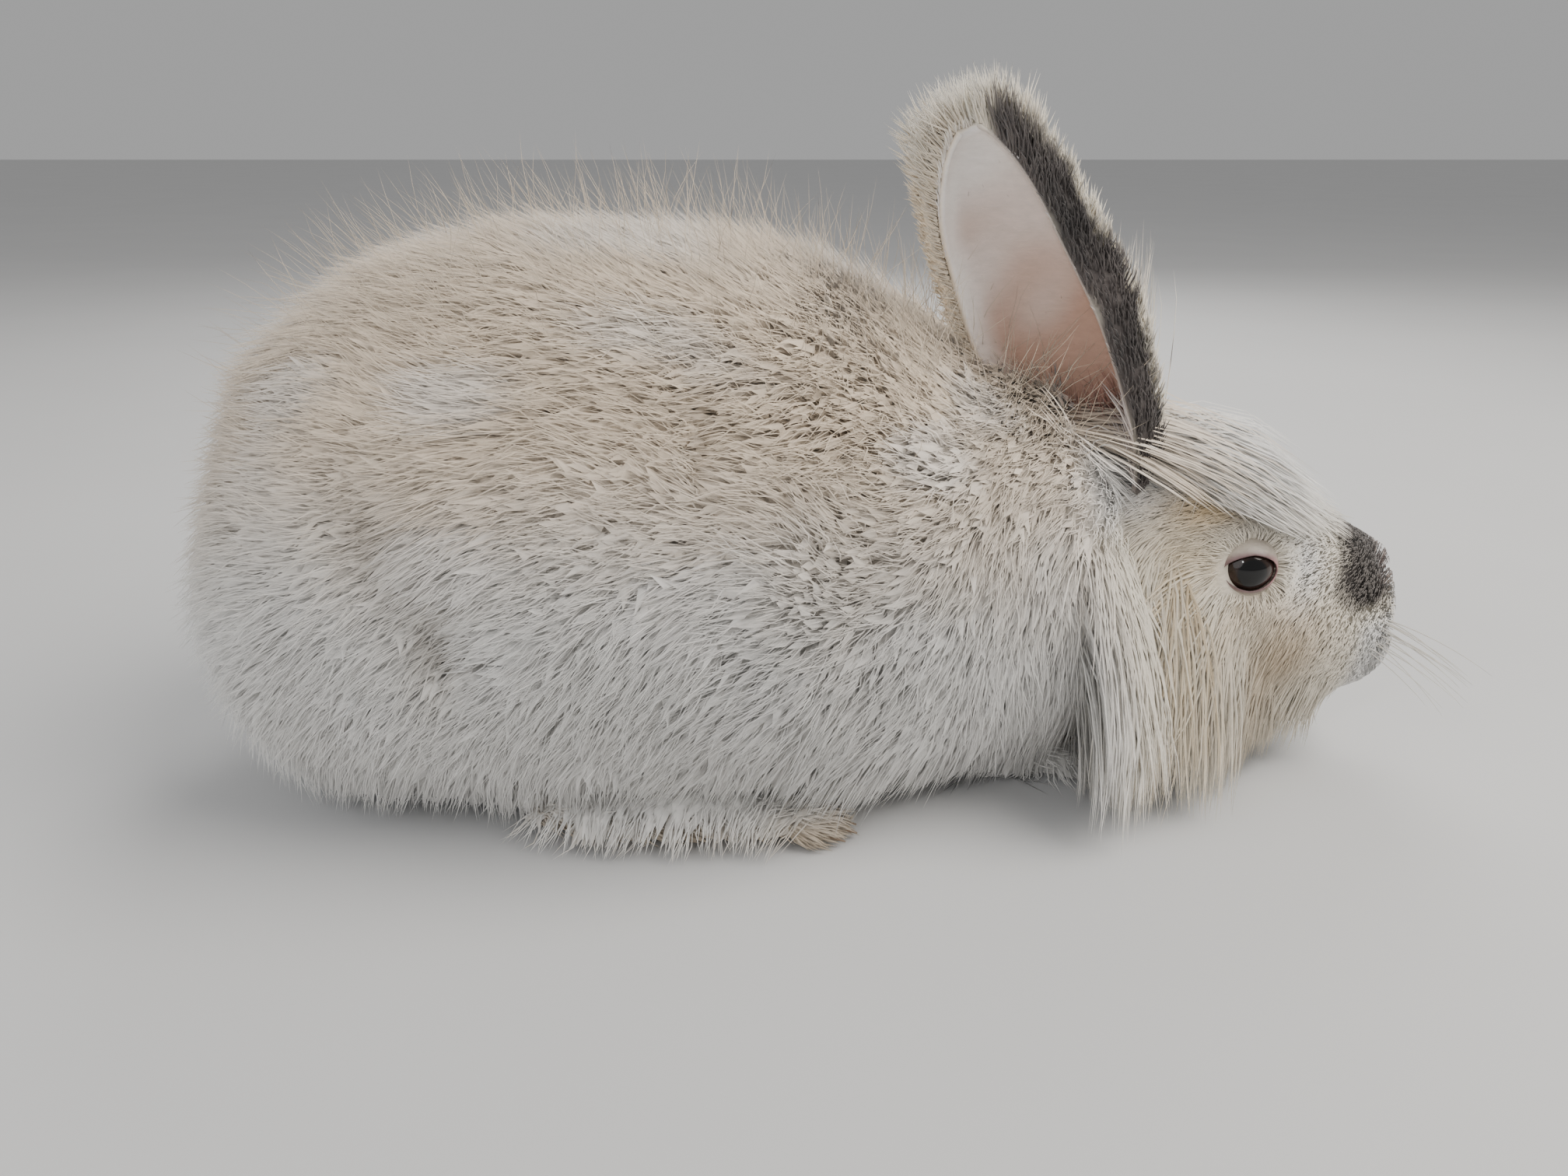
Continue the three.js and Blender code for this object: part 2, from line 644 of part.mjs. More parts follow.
function locksOfEar() {
  const list = [];
  const between = ([from, to], part) => from + (to - from) * part;
  for (let i = 0; i < EAR_TUFT.count; i++) {
    const part = i / (EAR_TUFT.count - 1);
    const t = EAR_TUFT.t - EAR_TUFT.stagger * (i % 2);
    list.push(earLock(t, between(EAR_TUFT.share, part), EAR_TUFT, between(EAR_TUFT.lean, part)));
  }
  for (const { share, lean } of EAR_FRINGE.edges) list.push(earLock(EAR_FRINGE.t, share, EAR_FRINGE, lean));
  return list;
}
const earLocks = locksOfEar();

function ear() {
  const whole = joined([earBlade(), ...locks(earLocks)]);
  const kept = whole.subtract(formSolid(HEAD, 1, GAP)).subtract(roomOfLocks(headLocks.filter(nearEar)));
  return largest(kept);
}

function nearEar({ root }) {
  return root.z > HEAD.stations[1].z + NEAR.ear;
}

// The lids: a thin shell round the eye with an almond-shaped opening.
function lidded(whole) {
  const { at, radius, lid, slit } = EYE;
  const shell = ball(at, radius + lid);
  const opening = ellipsoid(at.clone().setY(at.y + radius), [slit[0], radius, slit[1]], 14, 10);
  return whole.add(both(shell)).subtract(both(opening)).subtract(both(ball(at, radius + GAP)));
}

function ball(at, radius) {
  return ellipsoid(at, [radius, radius, radius], EYE.sides, EYE.rings);
}

// The mouth line: a thin, drooping cut that reaches a little into the lips.
function mouthLine() {
  const bar = new THREE.BoxGeometry(MOUTH.reach, MOUTH.wide, MOUTH.thick);
  bar.rotateY(MOUTH.droop);
  bar.translate(MOUTH.from + MOUTH.reach / 2, 0, MOUTH.z);
  return solid(bar).subtract(ellipsoid(MOUTH.inner, MOUTH.kept, 16, 8));
}

const HEAD_FORM = formOf(HEAD, 1);

// Locks that start round a form at given shares of its length and angles, on both sides.
function headRows(rows, lieAt) {
  const list = [];
  for (const row of rows)
    for (const angle of row.angles)
      for (const side of angle === Math.PI / 2 ? [1] : [1, -1]) {
        const { point, normal } = HEAD_FORM.at(row.t, side > 0 ? angle : Math.PI - angle);
        const lie = alongSurface(lieAt(side, angle), normal);
        const { width, thick } = row;
        const length = row.length * vary(SPREAD.length);
        const rise = row.rise * vary(SPREAD.rise);
        list.push(hung({ root: point, normal, lie, length, rise, width, thick }));
      }
  return list;
}

// The brow's locks sweep forward over the face, and part over the nose.
const browLocks = headRows(
  [
    { t: 0.15, angles: [1.5708, 1.02, 0.6], length: 40, rise: 7, width: 18, thick: 3.2 },
    { t: 0.29, angles: [1.36, 0.95], length: 44, rise: 8, width: 17, thick: 3.2 },
    { t: 0.43, angles: [1.5708, 1.1], length: 42, rise: 6, width: 15, thick: 3.2 },
    { t: 0.57, angles: [1.38, 1.0], length: 34, rise: 2.5, width: 12, thick: 2.8 },
  ],
  (side, angle) => new THREE.Vector3(1, 0.5 * side * Math.cos(angle), -0.45),
);

// The locks of the cheeks and throat hang to the floor like a beard.
const beardLocks = headRows(
  [
    { t: 0.1, angles: [0.4, -0.1, -0.6, -1.1], length: 50, rise: 13, width: 21, thick: 3.6 },
    { t: 0.22, angles: [0.02, -0.45, -1.0], length: 52, rise: 15, width: 21, thick: 3.6 },
    { t: 0.35, angles: [-0.1, -0.55, -1.08], length: 50, rise: 13, width: 20, thick: 3.6 },
    { t: 0.48, angles: [-0.38, -0.82, -1.3], length: 42, rise: 9, width: 18, thick: 3.4 },
    { t: 0.61, angles: [-0.6, -1.1], length: 28, rise: 5, width: 15, thick: 3 },
  ],
  (side) => new THREE.Vector3(-0.12, 0.25 * side, -1),
);
const headLocks = [...browLocks, ...beardLocks];

function head() {
  const skull = formSolid(HEAD, 1).intersect(half(CUTS.head, true, GAP));
  const muzzle = joined([
    ellipsoid(NOSE.at, NOSE.size, 14, 8),
    both(ellipsoid(WHISKER_PAD.at, WHISKER_PAD.size, 14, 8)),
    ellipsoid(CHIN.at, CHIN.size, 14, 8),
  ]);
  const nostril = new THREE.SphereGeometry(1, 8, 6);
  nostril.scale(...NOSTRIL.size);
  nostril.rotateX(-NOSTRIL.lean);
  nostril.translate(NOSTRIL.at.x, NOSTRIL.at.y, NOSTRIL.at.z);
  const flesh = lidded(skull.add(muzzle))
    .subtract(both(solid(nostril)))
    .subtract(ellipsoid(CLEFT.at, CLEFT.size, 8, 6))
    .subtract(mouthLine());
  const kept = joined([flesh, ...locks(headLocks)])
    .intersect(floorUp)
    .subtract(both(foreZone(GAP)))
    .subtract(both(ball(EYE.at, EYE.radius + GAP)));
  return largest(kept);
}

function eye() {
  return ball(EYE.at, EYE.radius);
}

// A named mesh from a solid.
function meshOf(name, whole, colour, roughness) {
  const made = whole.getMesh();
  const count = made.numProp;
  const positions = new Float32Array(made.numVert * 3);
  for (let i = 0; i < made.numVert; i++)
    positions.set(made.vertProperties.subarray(i * count, i * count + 3), i * 3);
  const geometry = new THREE.BufferGeometry();
  geometry.setAttribute("position", new THREE.BufferAttribute(positions, 3));
  geometry.setIndex(new THREE.BufferAttribute(new Uint32Array(made.triVerts), 1));
  geometry.computeVertexNormals();
  const material = new THREE.MeshStandardMaterial({ color: colour, roughness, metalness: 0 });
  const mesh = new THREE.Mesh(geometry, material);
  mesh.name = name;
  return mesh;
}

const rabbit = new THREE.Group();
rabbit.name = "angora_rabbit";
const parts = [
  ["torso", torso(), COLOURS.wool, 1],
  ["neck", neck(), COLOURS.wool, 1],
  ["head", head(), COLOURS.cream, 1],
  ["tail", tail(), COLOURS.wool, 1],
];
const sided = [
  ["ear", ear(), COLOURS.ear, 0.9],
  ["eye", eye(), COLOURS.eye, 0.1],
  ["foreleg", foreLeg(), COLOURS.wool, 1],
  ["hindleg", hindLeg(), COLOURS.wool, 1],
];
for (const [name, whole, colour, roughness] of sided)
  parts.push(
    [name + "_left", whole, colour, roughness],
    [name + "_right", mirrored(whole), colour, roughness],
  );

// The middle of the box round all parts becomes the origin, with the soles on the floor.
const low = [0, 1, 2].map((k) => Math.min(...parts.map(([, whole]) => whole.boundingBox().min[k])));
const high = [0, 1, 2].map((k) => Math.max(...parts.map(([, whole]) => whole.boundingBox().max[k])));
const toOrigin = [-(low[0] + high[0]) / 2, -(low[1] + high[1]) / 2, -low[2]];
for (const [name, whole, colour, roughness] of parts)
  rabbit.add(meshOf(name, whole.translate(toOrigin), colour, roughness));

export default rabbit;
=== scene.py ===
# %% [markdown]
# # A life-size angora rabbit
# The rabbit crouches still on a pale floor. One skin is lofted and remeshed, and the wool
# stands on it as tens of thousands of thin, closed tufts. Eyes, lids, ears and claws are
# pieces of their own. Blender works in metres, and the sizes below were measured in
# millimetres, so MM turns one into the other.

# %% Load the frame
import math

import bmesh
import bpy
import numpy as np
from mathutils import Matrix, Vector
from mathutils.kdtree import KDTree


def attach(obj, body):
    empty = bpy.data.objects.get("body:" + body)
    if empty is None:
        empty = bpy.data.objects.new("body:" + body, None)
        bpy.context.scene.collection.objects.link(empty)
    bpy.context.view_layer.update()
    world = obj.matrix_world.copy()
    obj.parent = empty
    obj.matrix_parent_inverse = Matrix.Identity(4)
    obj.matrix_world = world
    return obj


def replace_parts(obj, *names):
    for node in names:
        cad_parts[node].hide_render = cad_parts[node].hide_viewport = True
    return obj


MM = 0.001
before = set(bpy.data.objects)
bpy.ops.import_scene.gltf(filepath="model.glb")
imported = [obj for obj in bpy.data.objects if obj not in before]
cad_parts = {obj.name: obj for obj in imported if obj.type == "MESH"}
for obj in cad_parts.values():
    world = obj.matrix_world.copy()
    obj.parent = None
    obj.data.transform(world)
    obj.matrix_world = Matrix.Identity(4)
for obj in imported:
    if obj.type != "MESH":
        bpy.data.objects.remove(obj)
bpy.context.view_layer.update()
rng = np.random.default_rng(11)

# %% [markdown]
# The camera comes first, so that every later choice is judged from the right place. The photo
# looks down at the rabbit's right side with a phone's wide lens, close to the table.

# %% Camera
CAMERA_PLACE = (-0.0014, -0.4154, 0.2145)
CAMERA_DOWN = 20.3
LENS = 28.57


def linked(name, data):
    thing = bpy.data.objects.new(name, data)
    bpy.context.scene.collection.objects.link(thing)
    return thing


lens = bpy.data.cameras.new("camera")
lens.sensor_width = 36.0
lens.lens = LENS
lens.clip_start = 0.01
camera = linked("camera", lens)
camera.location = CAMERA_PLACE
camera.rotation_euler = (math.radians(90 - CAMERA_DOWN), 0, 0)
bpy.context.scene.camera = camera
print("camera", camera.location)

# %% [markdown]
# Under the wool the body is a plain smooth shape. It is given by stations along the rabbit:
# the place along X, the height of the middle, the half width, the height above and the depth
# below the middle, and how deep the wool is there. A cubic through the stations keeps the
# outline round, where straight lines between them would show corners.

# %% Stations of the body and head
OFFSET = np.array([-1.4, -0.4, 0.0])
BODY = [
    [-182, 71, 30, 30, 30, 42],
    [-174, 72, 44, 42, 40, 42],
    [-140, 80, 52, 52, 52, 43],
    [-95, 84, 60, 60, 56, 43],
    [-45, 84, 64, 62, 56, 43],
    [5, 82, 60, 56, 54, 42],
    [45, 78, 48, 46, 50, 38],
    [80, 76, 36, 36, 44, 32],
    [118, 76, 28, 30, 36, 24],
]
HEAD = [
    [92, 78, 25, 33, 36, 4],
    [122, 73, 30, 44, 42, 5],
    [150, 67, 31, 42, 44, 4],
    [176, 58, 25, 37, 36, 3],
    [197, 52, 18, 31, 27, 2.5],
    [211, 50, 14, 25, 20, 2],
]
BODY, HEAD = np.array(BODY, dtype=float), np.array(HEAD, dtype=float)
BODY_CORE = 0.74  # the share of the wool's depth that the skin itself fills
HEAD_CORE = 0.3


def smooth_through(x, xs, ys):
    """A cubic through the stations whose slope at each follows its neighbours."""
    slopes = np.gradient(ys, xs)
    k = np.clip(np.searchsorted(xs, x) - 1, 0, len(xs) - 2)
    span = xs[k + 1] - xs[k]
    t = np.clip((x - xs[k]) / span, 0, 1)
    start = (2 * t**3 - 3 * t**2 + 1) * ys[k] + (t**3 - 2 * t**2 + t) * span * slopes[k]
    end = (3 * t**2 - 2 * t**3) * ys[k + 1] + (t**3 - t**2) * span * slopes[k + 1]
    return start + end


def form_at(x, stations, share):
    """Middle height, half width, height above and depth below it, at X in millimetres."""
    xs = stations[:, 0]
    middle, wide, top, bottom, wool = (smooth_through(x, xs, stations[:, k]) for k in range(1, 6))
    return middle, wide + wool * share, top + wool * share, bottom + wool * share


# %% [markdown]
# The skin starts as lofts. At each place a circle is pulled to its width and heights, and
# bridge_loops joins one circle to the next. Towards its two ends a form gets round, so the
# circles there shrink along a quarter of an ellipse. Legs, feet and tail are squashed balls.

# %% Lofts and balls
RING_SIDES = 32
END_SHARE = 0.004  # the first and last circles stand this share inside a form's ends


def round_end(share, reach):
    t = min(max(share / reach, 0), 1)
    return math.sqrt(max(1 - (1 - t) ** 2, 1e-3))


def loft(bm, stations, core, rings, blunt, ends):
    loops = []
    for k in range(rings + 1):
        eased = 0.5 - 0.5 * math.cos(math.pi * k / rings)
        share = END_SHARE + (1 - 2 * END_SHARE) * eased
        x = ends[0] + (ends[1] - ends[0]) * share
        middle, wide, top, bottom = form_at(x, stations, core)
        size = round_end(share, blunt[0]) * round_end(1 - share, blunt[1])
        made = bmesh.ops.create_circle(bm, cap_ends=False, segments=RING_SIDES, radius=1.0)
        for i, vert in enumerate(made["verts"]):
            angle = 2 * math.pi * i / RING_SIDES
            up = top if math.sin(angle) > 0 else bottom
            vert.co = (x, wide * size * math.cos(angle), middle + up * size * math.sin(angle))
        loops.append(list({edge for vert in made["verts"] for edge in vert.link_edges}))
    for one, two in zip(loops, loops[1:]):
        bmesh.ops.bridge_loops(bm, edges=one + two)
    bmesh.ops.holes_fill(bm, edges=loops[0] + loops[-1], sides=RING_SIDES)


def ball(bm, at, size, lean=0.0, sides=20):
    place = Matrix.Translation(at) @ Matrix.Rotation(lean, 4, "Y") @ Matrix.Diagonal((*size, 1.0))
    rows = sides // 2
    bmesh.ops.create_uvsphere(bm, u_segments=sides, v_segments=rows, radius=1.0, matrix=place)


def both_sides(at):
    return [(at[0], at[1], at[2]), (at[0], -at[1], at[2])]


# %% [markdown]
# The voxel remesh turns the overlapping lofts and balls into one closed skin, as clay is
# pressed together, and smooth_vert takes the last steps out of it. The face then gets its
# small forms with soft dents and bumps: each is a place, a reach along X, Y and Z, and a push.

# %% Skin
HAUNCH = {"at": (-78, 46, 60), "size": (58, 34, 52)}
HIND_FOOT = {"at": (-34, 66, 9), "size": (50, 10, 9)}
HIND_TOES = [(8, 58.5, 5), (12, 63.5, 5.2), (12, 68.8, 5.2), (8, 73.5, 5)]
HIND_TOE_SIZE = (9, 3.4, 4.6)
FORE_ARM = {"at": (78, 22, 30), "size": (15, 13, 30)}
FORE_FOOT = {"at": (88, 21, 8), "size": (19, 9, 8)}
FORE_TOES = [(98, 14, 4.6), (101, 18.7, 4.8), (101, 23.4, 4.8), (98, 28, 4.6)]
FORE_TOE_SIZE = (7, 2.9, 4.2)
TAIL = {"at": (-184, 0, 52), "size": (17, 14, 24), "lean": -0.2}
VOXEL = 2.1
SMOOTH_ROUNDS = 14
FLOOR_ROOM = 0.6
EYE = {"at": (153, 24, 78), "radius": 9.5}
HANDS = ((1, "left"), (-1, "right"))


def object_of(bm, name, smooth=False):
    for face in bm.faces:
        face.smooth = smooth
    mesh = bpy.data.meshes.new(name)
    bm.to_mesh(mesh)
    bm.free()
    return linked(name, mesh)


def remeshed(piece, voxel, rounds):
    modifier = piece.modifiers.new("clay", "REMESH")
    modifier.mode = "VOXEL"
    modifier.voxel_size = voxel
    bpy.context.view_layer.update()
    evaluated = piece.evaluated_get(bpy.context.evaluated_depsgraph_get())
    mesh = bpy.data.meshes.new_from_object(evaluated)
    piece.modifiers.clear()
    piece.data = mesh
    bm = bmesh.new()
    bm.from_mesh(mesh)
    for _ in range(rounds):
        axes = {"use_axis_x": True, "use_axis_y": True, "use_axis_z": True}
        bmesh.ops.smooth_vert(bm, verts=bm.verts, factor=0.5, **axes)
    bm.to_mesh(mesh)
    bm.free()
    return piece


# Pushes on the face, from its eye to its chin: place, reach, push. Each is made on both sides.
FACE = [
    ((153, 36, 78), (15, 12, 12), (0, -2.6, 0)),
    ((146, 33, 91), (15, 9, 7), (0, 1.5, 1.8)),
    ((170, 22, 76), (12, 9, 12), (0, -2.4, 0)),
    ((140, 34, 56), (20, 12, 16), (0, 3.0, 0)),
    ((203, 9, 50), (10, 8, 10), (2.4, 2.6, 0)),
    ((200, 15, 64), (11, 7, 9), (0, -1.6, 0)),
    ((213, 0, 66), (6, 6.5, 6), (2.6, 0, 0)),
    ((213, 6.2, 65.5), (3, 2.0, 2.6), (-3.6, 0, 0)),
    ((215, 0, 55), (4, 1.5, 8), (-2.6, 0, 0)),
    ((208, 8, 40.5), (12, 13, 1.8), (-2.6, -1.2, 0)),
    ((196, 0, 27), (14, 11, 8), (2.5, 0, -3.0)),
]

# Hollows of the haunch, the parting behind the shoulder and the dip in front of the flank.
CREASES = [
    ((-110, 84, 106), (10, 34, 15), (0, -6, 0)),
    ((-94, 90, 78), (10, 34, 16), (0, -6, 0)),
    ((-20, 76, 128), (6, 26, 12), (0, -5, -3)),
    ((22, 74, 92), (14, 30, 26), (0, -4, 0)),
]


def values_of(items, name, kind=float):
    values = np.empty(len(items) * 3, dtype=kind)
    items.foreach_get(name, values)
    return values.reshape(-1, 3)


def vertices_of(mesh):
    return values_of(mesh.vertices, "co")


def pushed(piece, pushes):
    """Moves the places near each push, on both sides, but none of them below the floor."""
    mesh = piece.data
    co = vertices_of(mesh)
    moved = co.copy()
    for at, reach, push in pushes:
        for side in (1, -1) if at[1] else (1,):
            mirror = np.array([1, side, 1])
            away = (co - np.array(at) * mirror) / np.array(reach)
            share = np.exp(-np.sum(away**2, axis=1))
            moved += share[:, None] * np.array(push) * mirror
    moved[:, 2] = np.maximum(moved[:, 2], FLOOR_ROOM)
    mesh.vertices.foreach_set("co", moved.ravel())
    mesh.update()


def placed(piece):
    """From millimetres round the part's own middle to metres in the shared frame."""
    place = Matrix.Diagonal((MM, MM, MM, 1.0)) @ Matrix.Translation(OFFSET)
    piece.data.transform(place)
    piece.data.update()


bm = bmesh.new()
loft(bm, BODY, BODY_CORE, rings=26, blunt=(0.22, 0.1), ends=(-192, 118))
loft(bm, HEAD, HEAD_CORE, rings=22, blunt=(0.16, 0.16), ends=(92, 212))
for part, sides in ((HAUNCH, 28), (HIND_FOOT, 20), (FORE_ARM, 20), (FORE_FOOT, 20)):
    for at in both_sides(part["at"]):
        ball(bm, at, part["size"], sides=sides)
for toes, size in ((HIND_TOES, HIND_TOE_SIZE), (FORE_TOES, FORE_TOE_SIZE)):
    for toe in toes:
        for at in both_sides(toe):
            ball(bm, at, size, sides=12)
ball(bm, TAIL["at"], TAIL["size"], lean=TAIL["lean"])
bmesh.ops.recalc_face_normals(bm, faces=bm.faces)
skin = remeshed(object_of(bm, "skin"), VOXEL, SMOOTH_ROUNDS)
pushed(skin, CREASES + FACE)
print("skin faces", len(skin.data.polygons))

# %% [markdown]
# The markings, with painted shade in the creases of the haunch, shoulder and flank, are one
# function of place, used for the skin and for every tuft that grows on it, so that the two
# always agree. Soft steps and a few slow waves blend one colour of wool into the next, as a
# real coat has no hard edges. Colours are given as seen, and turned into the linear values that
# Blender calculates with.

# %% Colours
def linear(seen):
    seen = np.asarray(seen, dtype=float)
    return np.where(seen <= 0.04045, seen / 12.92, ((seen + 0.055) / 1.055) ** 2.4)


def step(a, b, x):
    t = np.clip((x - a) / (b - a), 0, 1)
    return t * t * (3 - 2 * t)


def spot(p, at, reach):
    """1 at a place and on the same place of the other side, soft to 0 beyond its reach."""
    p = np.column_stack([p[:, 0], np.abs(p[:, 1]), p[:, 2]])
    away = (p - np.array(at)) / np.array(reach)
    return np.exp(-np.sum(away**2, axis=1))


def waves(p, size, seed, count=7):
    """A smooth, seeded field of about -1 to 1 whose patches are about size across."""
    draw = np.random.default_rng(seed)
    ways = draw.normal(size=(count, 3))
    ways *= (draw.uniform(0.7, 1.5, count) * 2.2 / size / np.linalg.norm(ways, axis=1))[:, None]
    turns = draw.uniform(0, 2 * math.pi, count)
    return np.sin(p @ ways.T + turns).sum(axis=1) / math.sqrt(count / 2) / 1.6


COLOURS = {
    "white": linear((0.965, 0.955, 0.94)),
    "pad": linear((0.74, 0.58, 0.55)),
    "cool": linear((0.925, 0.915, 0.895)),
    "fawn": linear((0.89, 0.80, 0.685)),
    # painted shade for the hollows of the haunch, behind the shoulder and in front of the flank
    "crease_shade": linear((0.74, 0.70, 0.65)),
    "cream": linear((0.955, 0.92, 0.85)),
    "ochre": linear((0.82, 0.70, 0.50)),
    "tan": linear((0.84, 0.745, 0.62)),
    "smoke": linear((0.30, 0.27, 0.26)),
    "grey": linear((0.66, 0.64, 0.61)),
    "toe": linear((0.68, 0.60, 0.49)),
}


def blend(base, other, share):
    return base * (1 - share[:, None]) + COLOURS[other] * share[:, None]


# %% Markings and painted shade
def markings_and_shade(p):
    """Colour of the coat at places in millimetres round the rabbit's own middle,
    with painted shade in the creases of the haunch, shoulder and flank.
    """
    x, y, z = p[:, 0], np.abs(p[:, 1]), p[:, 2]
    slow = waves(p, 60, 3)
    fine = waves(p, 18, 4)
    colour = np.tile(COLOURS["cool"], (len(p), 1))
    back = step(78, 150, z + 14 * slow + 0.12 * np.abs(x + 60)) * (x < 112)
    colour = blend(colour, "fawn", back * 0.8)
    colour = blend(colour, "white", step(0.2, 1.1, fine) * 0.45)
    # Painted shade: the hollows of the haunch, the parting behind the shoulder and the dip in
    # front of the flank are painted darker.
    crease_shade = spot(p, (-110, 92, 106), (9, 60, 15)) + spot(p, (-94, 92, 78), (9, 60, 16))
    crease_shade += 0.8 * spot(p, (-20, 88, 128), (4, 40, 11))
    crease_shade += 0.5 * spot(p, (22, 84, 92), (12, 50, 26))
    colour = blend(colour, "crease_shade", np.clip(crease_shade, 0, 1) * 0.55)
    colour = blend(colour, "white", spot(p, (60, 60, 40), (30, 50, 34)) * 0.5)
    head = step(92, 108, x + 0.1 * (z - 76))
    patch = spot(p, (199, 10, 69), (18, 18, 14)) + 0.8 * spot(p, (199, 0, 81), (14, 15, 11))
    patch += 0.12 * waves(p, 7, 9)
    dapple = step(0.0, 0.9, waves(p, 8, 8)) * spot(p, (199, 0, 86), (14, 16, 8))
    lips = spot(p, (212, 0, 55), (8, 1.7, 5)) + spot(p, (210, 4.5, 48.5), (8, 5, 1.6))
    face = np.tile(COLOURS["cream"], (len(p), 1))
    for other, share in (
        ("white", step(88, 102, z) * step(0.2, 0.9, (z - 78) / 20 + (x - 120) / 90)),
        ("ochre", spot(p, (141, 30, 99), (18, 22, 8)) * 0.95),
        ("ochre", spot(p, (133, 32, 80), (8, 16, 12)) * 0.75),
        ("tan", spot(p, (168, 22, 52), (16, 18, 17)) * 0.95),
        ("white", spot(p, (175, 18, 77), (7.5, 14, 12))),
        ("grey", spot(p, (153, 32, 91), (13, 12, 3.5)) * 0.9),
        ("tan", spot(p, (150, 32, 66), (12, 12, 4)) * 0.5),
        ("white", step(194, 204, x) * step(60, 52, z)),
        ("smoke", np.clip(step(0.42, 0.72, patch) + dapple * 0.7, 0, 1) * 0.95),
        ("pad", spot(p, (213, 0, 63), (8, 6, 6))),
        ("smoke", np.clip(lips, 0, 1) * 0.55),
    ):
        face = blend(face, other, share)
    colour = colour * (1 - head[:, None]) + face * head[:, None]
    toe = step(16, 6, z) * step(8, 0, np.abs(y - 66) - 12) * (x > -90) * (x < 40)
    return np.clip(blend(colour, "toe", toe * 0.8), 0, 1)


def paint(mesh, colours):
    """Stores a colour for every vertex, which a material reads by the name tint."""
    layer = mesh.color_attributes.new("tint", "FLOAT_COLOR", "POINT")
    layer.data.foreach_set("color", np.column_stack([colours, np.ones(len(colours))]).ravel())


# %% [markdown]
# A material for wool needs little shine, a fine streak from hair to hair and a soft glow at
# its edges. The streaks are a node group, as the skin, the coat and the ears all use them:
# it takes a colour and a scale, and puts out the streaked colour and a height for a bump.

# %% Streak group
def with_inputs(node, **values):
    for socket, value in values.items():
        node.inputs[socket.replace("_", " ")].default_value = value
    return node


def wire(links, *joints):
    """Each joint gives a node, the name of its output, the next node and the input there."""
    for node, output, other, socket in joints:
        links.new(node.outputs[output], other.inputs[socket])


STREAKS = bpy.data.node_groups.new("hair streaks", "ShaderNodeTree")
for way, name, kind in (
    ("INPUT", "Colour", "NodeSocketColor"),
    ("INPUT", "Scale", "NodeSocketFloat"),
    ("INPUT", "Strength", "NodeSocketFloat"),
    ("OUTPUT", "Colour", "NodeSocketColor"),
    ("OUTPUT", "Height", "NodeSocketFloat"),
):
    STREAKS.interface.new_socket(name, in_out=way, socket_type=kind)
nodes = STREAKS.nodes
taken = nodes.new("NodeGroupInput")
given = nodes.new("NodeGroupOutput")
place = nodes.new("ShaderNodeTexCoord")
stretch = with_inputs(nodes.new("ShaderNodeMapping"), Scale=(0.35, 1.0, 1.0))
noise = with_inputs(nodes.new("ShaderNodeTexNoise"), Detail=4, Roughness=0.65)
spread = with_inputs(nodes.new("ShaderNodeMapRange"), From_Min=0.3, From_Max=0.7)
darker = nodes.new("ShaderNodeMath")
darker.operation = "SUBTRACT"
darker.inputs[0].default_value = 1.0
mix = nodes.new("ShaderNodeMix")
mix.data_type = "RGBA"
mix.blend_type = "MULTIPLY"
mix.inputs["Factor"].default_value = 1.0
wire(
    STREAKS.links,
    (place, "Object", stretch, "Vector"),
    (stretch, "Vector", noise, "Vector"),
    (taken, "Scale", noise, "Scale"),
    (noise, "Fac", spread, "Value"),
    (taken, "Strength", spread, "To Max"),
    (spread, "Result", darker, 1),
    (taken, "Colour", mix, "A"),
    (darker, "Value", mix, "B"),
    (mix, "Result", given, "Colour"),
    (noise, "Fac", given, "Height"),
)


def principled(name, **constants):
    material = bpy.data.materials.new(name)
    material.use_nodes = True
    return material, with_inputs(material.node_tree.nodes["Principled BSDF"], **constants)


def fur_material(name, scale, strength, bump, **constants):
    """Fur whose colour comes from the tint attribute, with fine streaks over it."""
    material, shader = principled(name, **constants)
    nodes, links = material.node_tree.nodes, material.node_tree.links
    tint = nodes.new("ShaderNodeAttribute")
    tint.attribute_name = "tint"
    streaks = nodes.new("ShaderNodeGroup")
    streaks.node_tree = STREAKS
    with_inputs(streaks, Scale=scale, Strength=strength)
    wire(links, (tint, "Color", streaks, "Colour"), (streaks, "Colour", shader, "Base Color"))
    if bump:
        rough = with_inputs(nodes.new("ShaderNodeBump"), Strength=bump, Distance=0.001)
        wire(links, (streaks, "Height", rough, "Height"), (rough, "Normal", shader, "Normal"))
    return material


# %% Materials of wool and skin
WOOL = fur_material("wool", 420.0, 0.12, 0.0, Roughness=0.8, Sheen_Weight=0.4, Sheen_Roughness=0.5)
SKIN = fur_material("furred skin", 650.0, 0.3, 0.6, Roughness=0.85, Sheen_Weight=0.2)

# The skin takes the markings a little darker: painted shade under the wool.
paint(skin.data, markings_and_shade(vertices_of(skin.data)) * 0.94)
skin.data.materials.append(SKIN)
for face in skin.data.polygons:
    face.use_smooth = True

# %% [markdown]
# The coat is many thin tufts. Each tuft leaves its root in one direction and ends in another,
# so it bends, and its three-sided section shrinks to a point. All tufts of a region are worked
# out at once as arrays, because a loop over each of them would take minutes.

# %% Roots of tufts
SECTION = np.radians([90.0, 210.0, 330.0])
PATCH = 0.003
TIP_WIDTH = 0.92
FLAT = 0.84
pieces = []


def unit(v):
    return v / np.maximum(np.linalg.norm(v, axis=-1, keepdims=True), 1e-9)


def across(v, n):
    """The part of a direction that runs along the surface whose normal is n."""
    return unit(v - np.sum(v * n, axis=1)[:, None] * n)


def xyz(x, y, z):
    return np.column_stack(np.broadcast_arrays(x, y, z)).astype(float)


def surface_of(mesh):
    """Corners and normals of the triangles of a mesh."""
    mesh.calc_loop_triangles()
    corners = values_of(mesh.loop_triangles, "vertices", np.int64)
    return vertices_of(mesh)[corners], values_of(mesh.vertices, "normal")[corners]


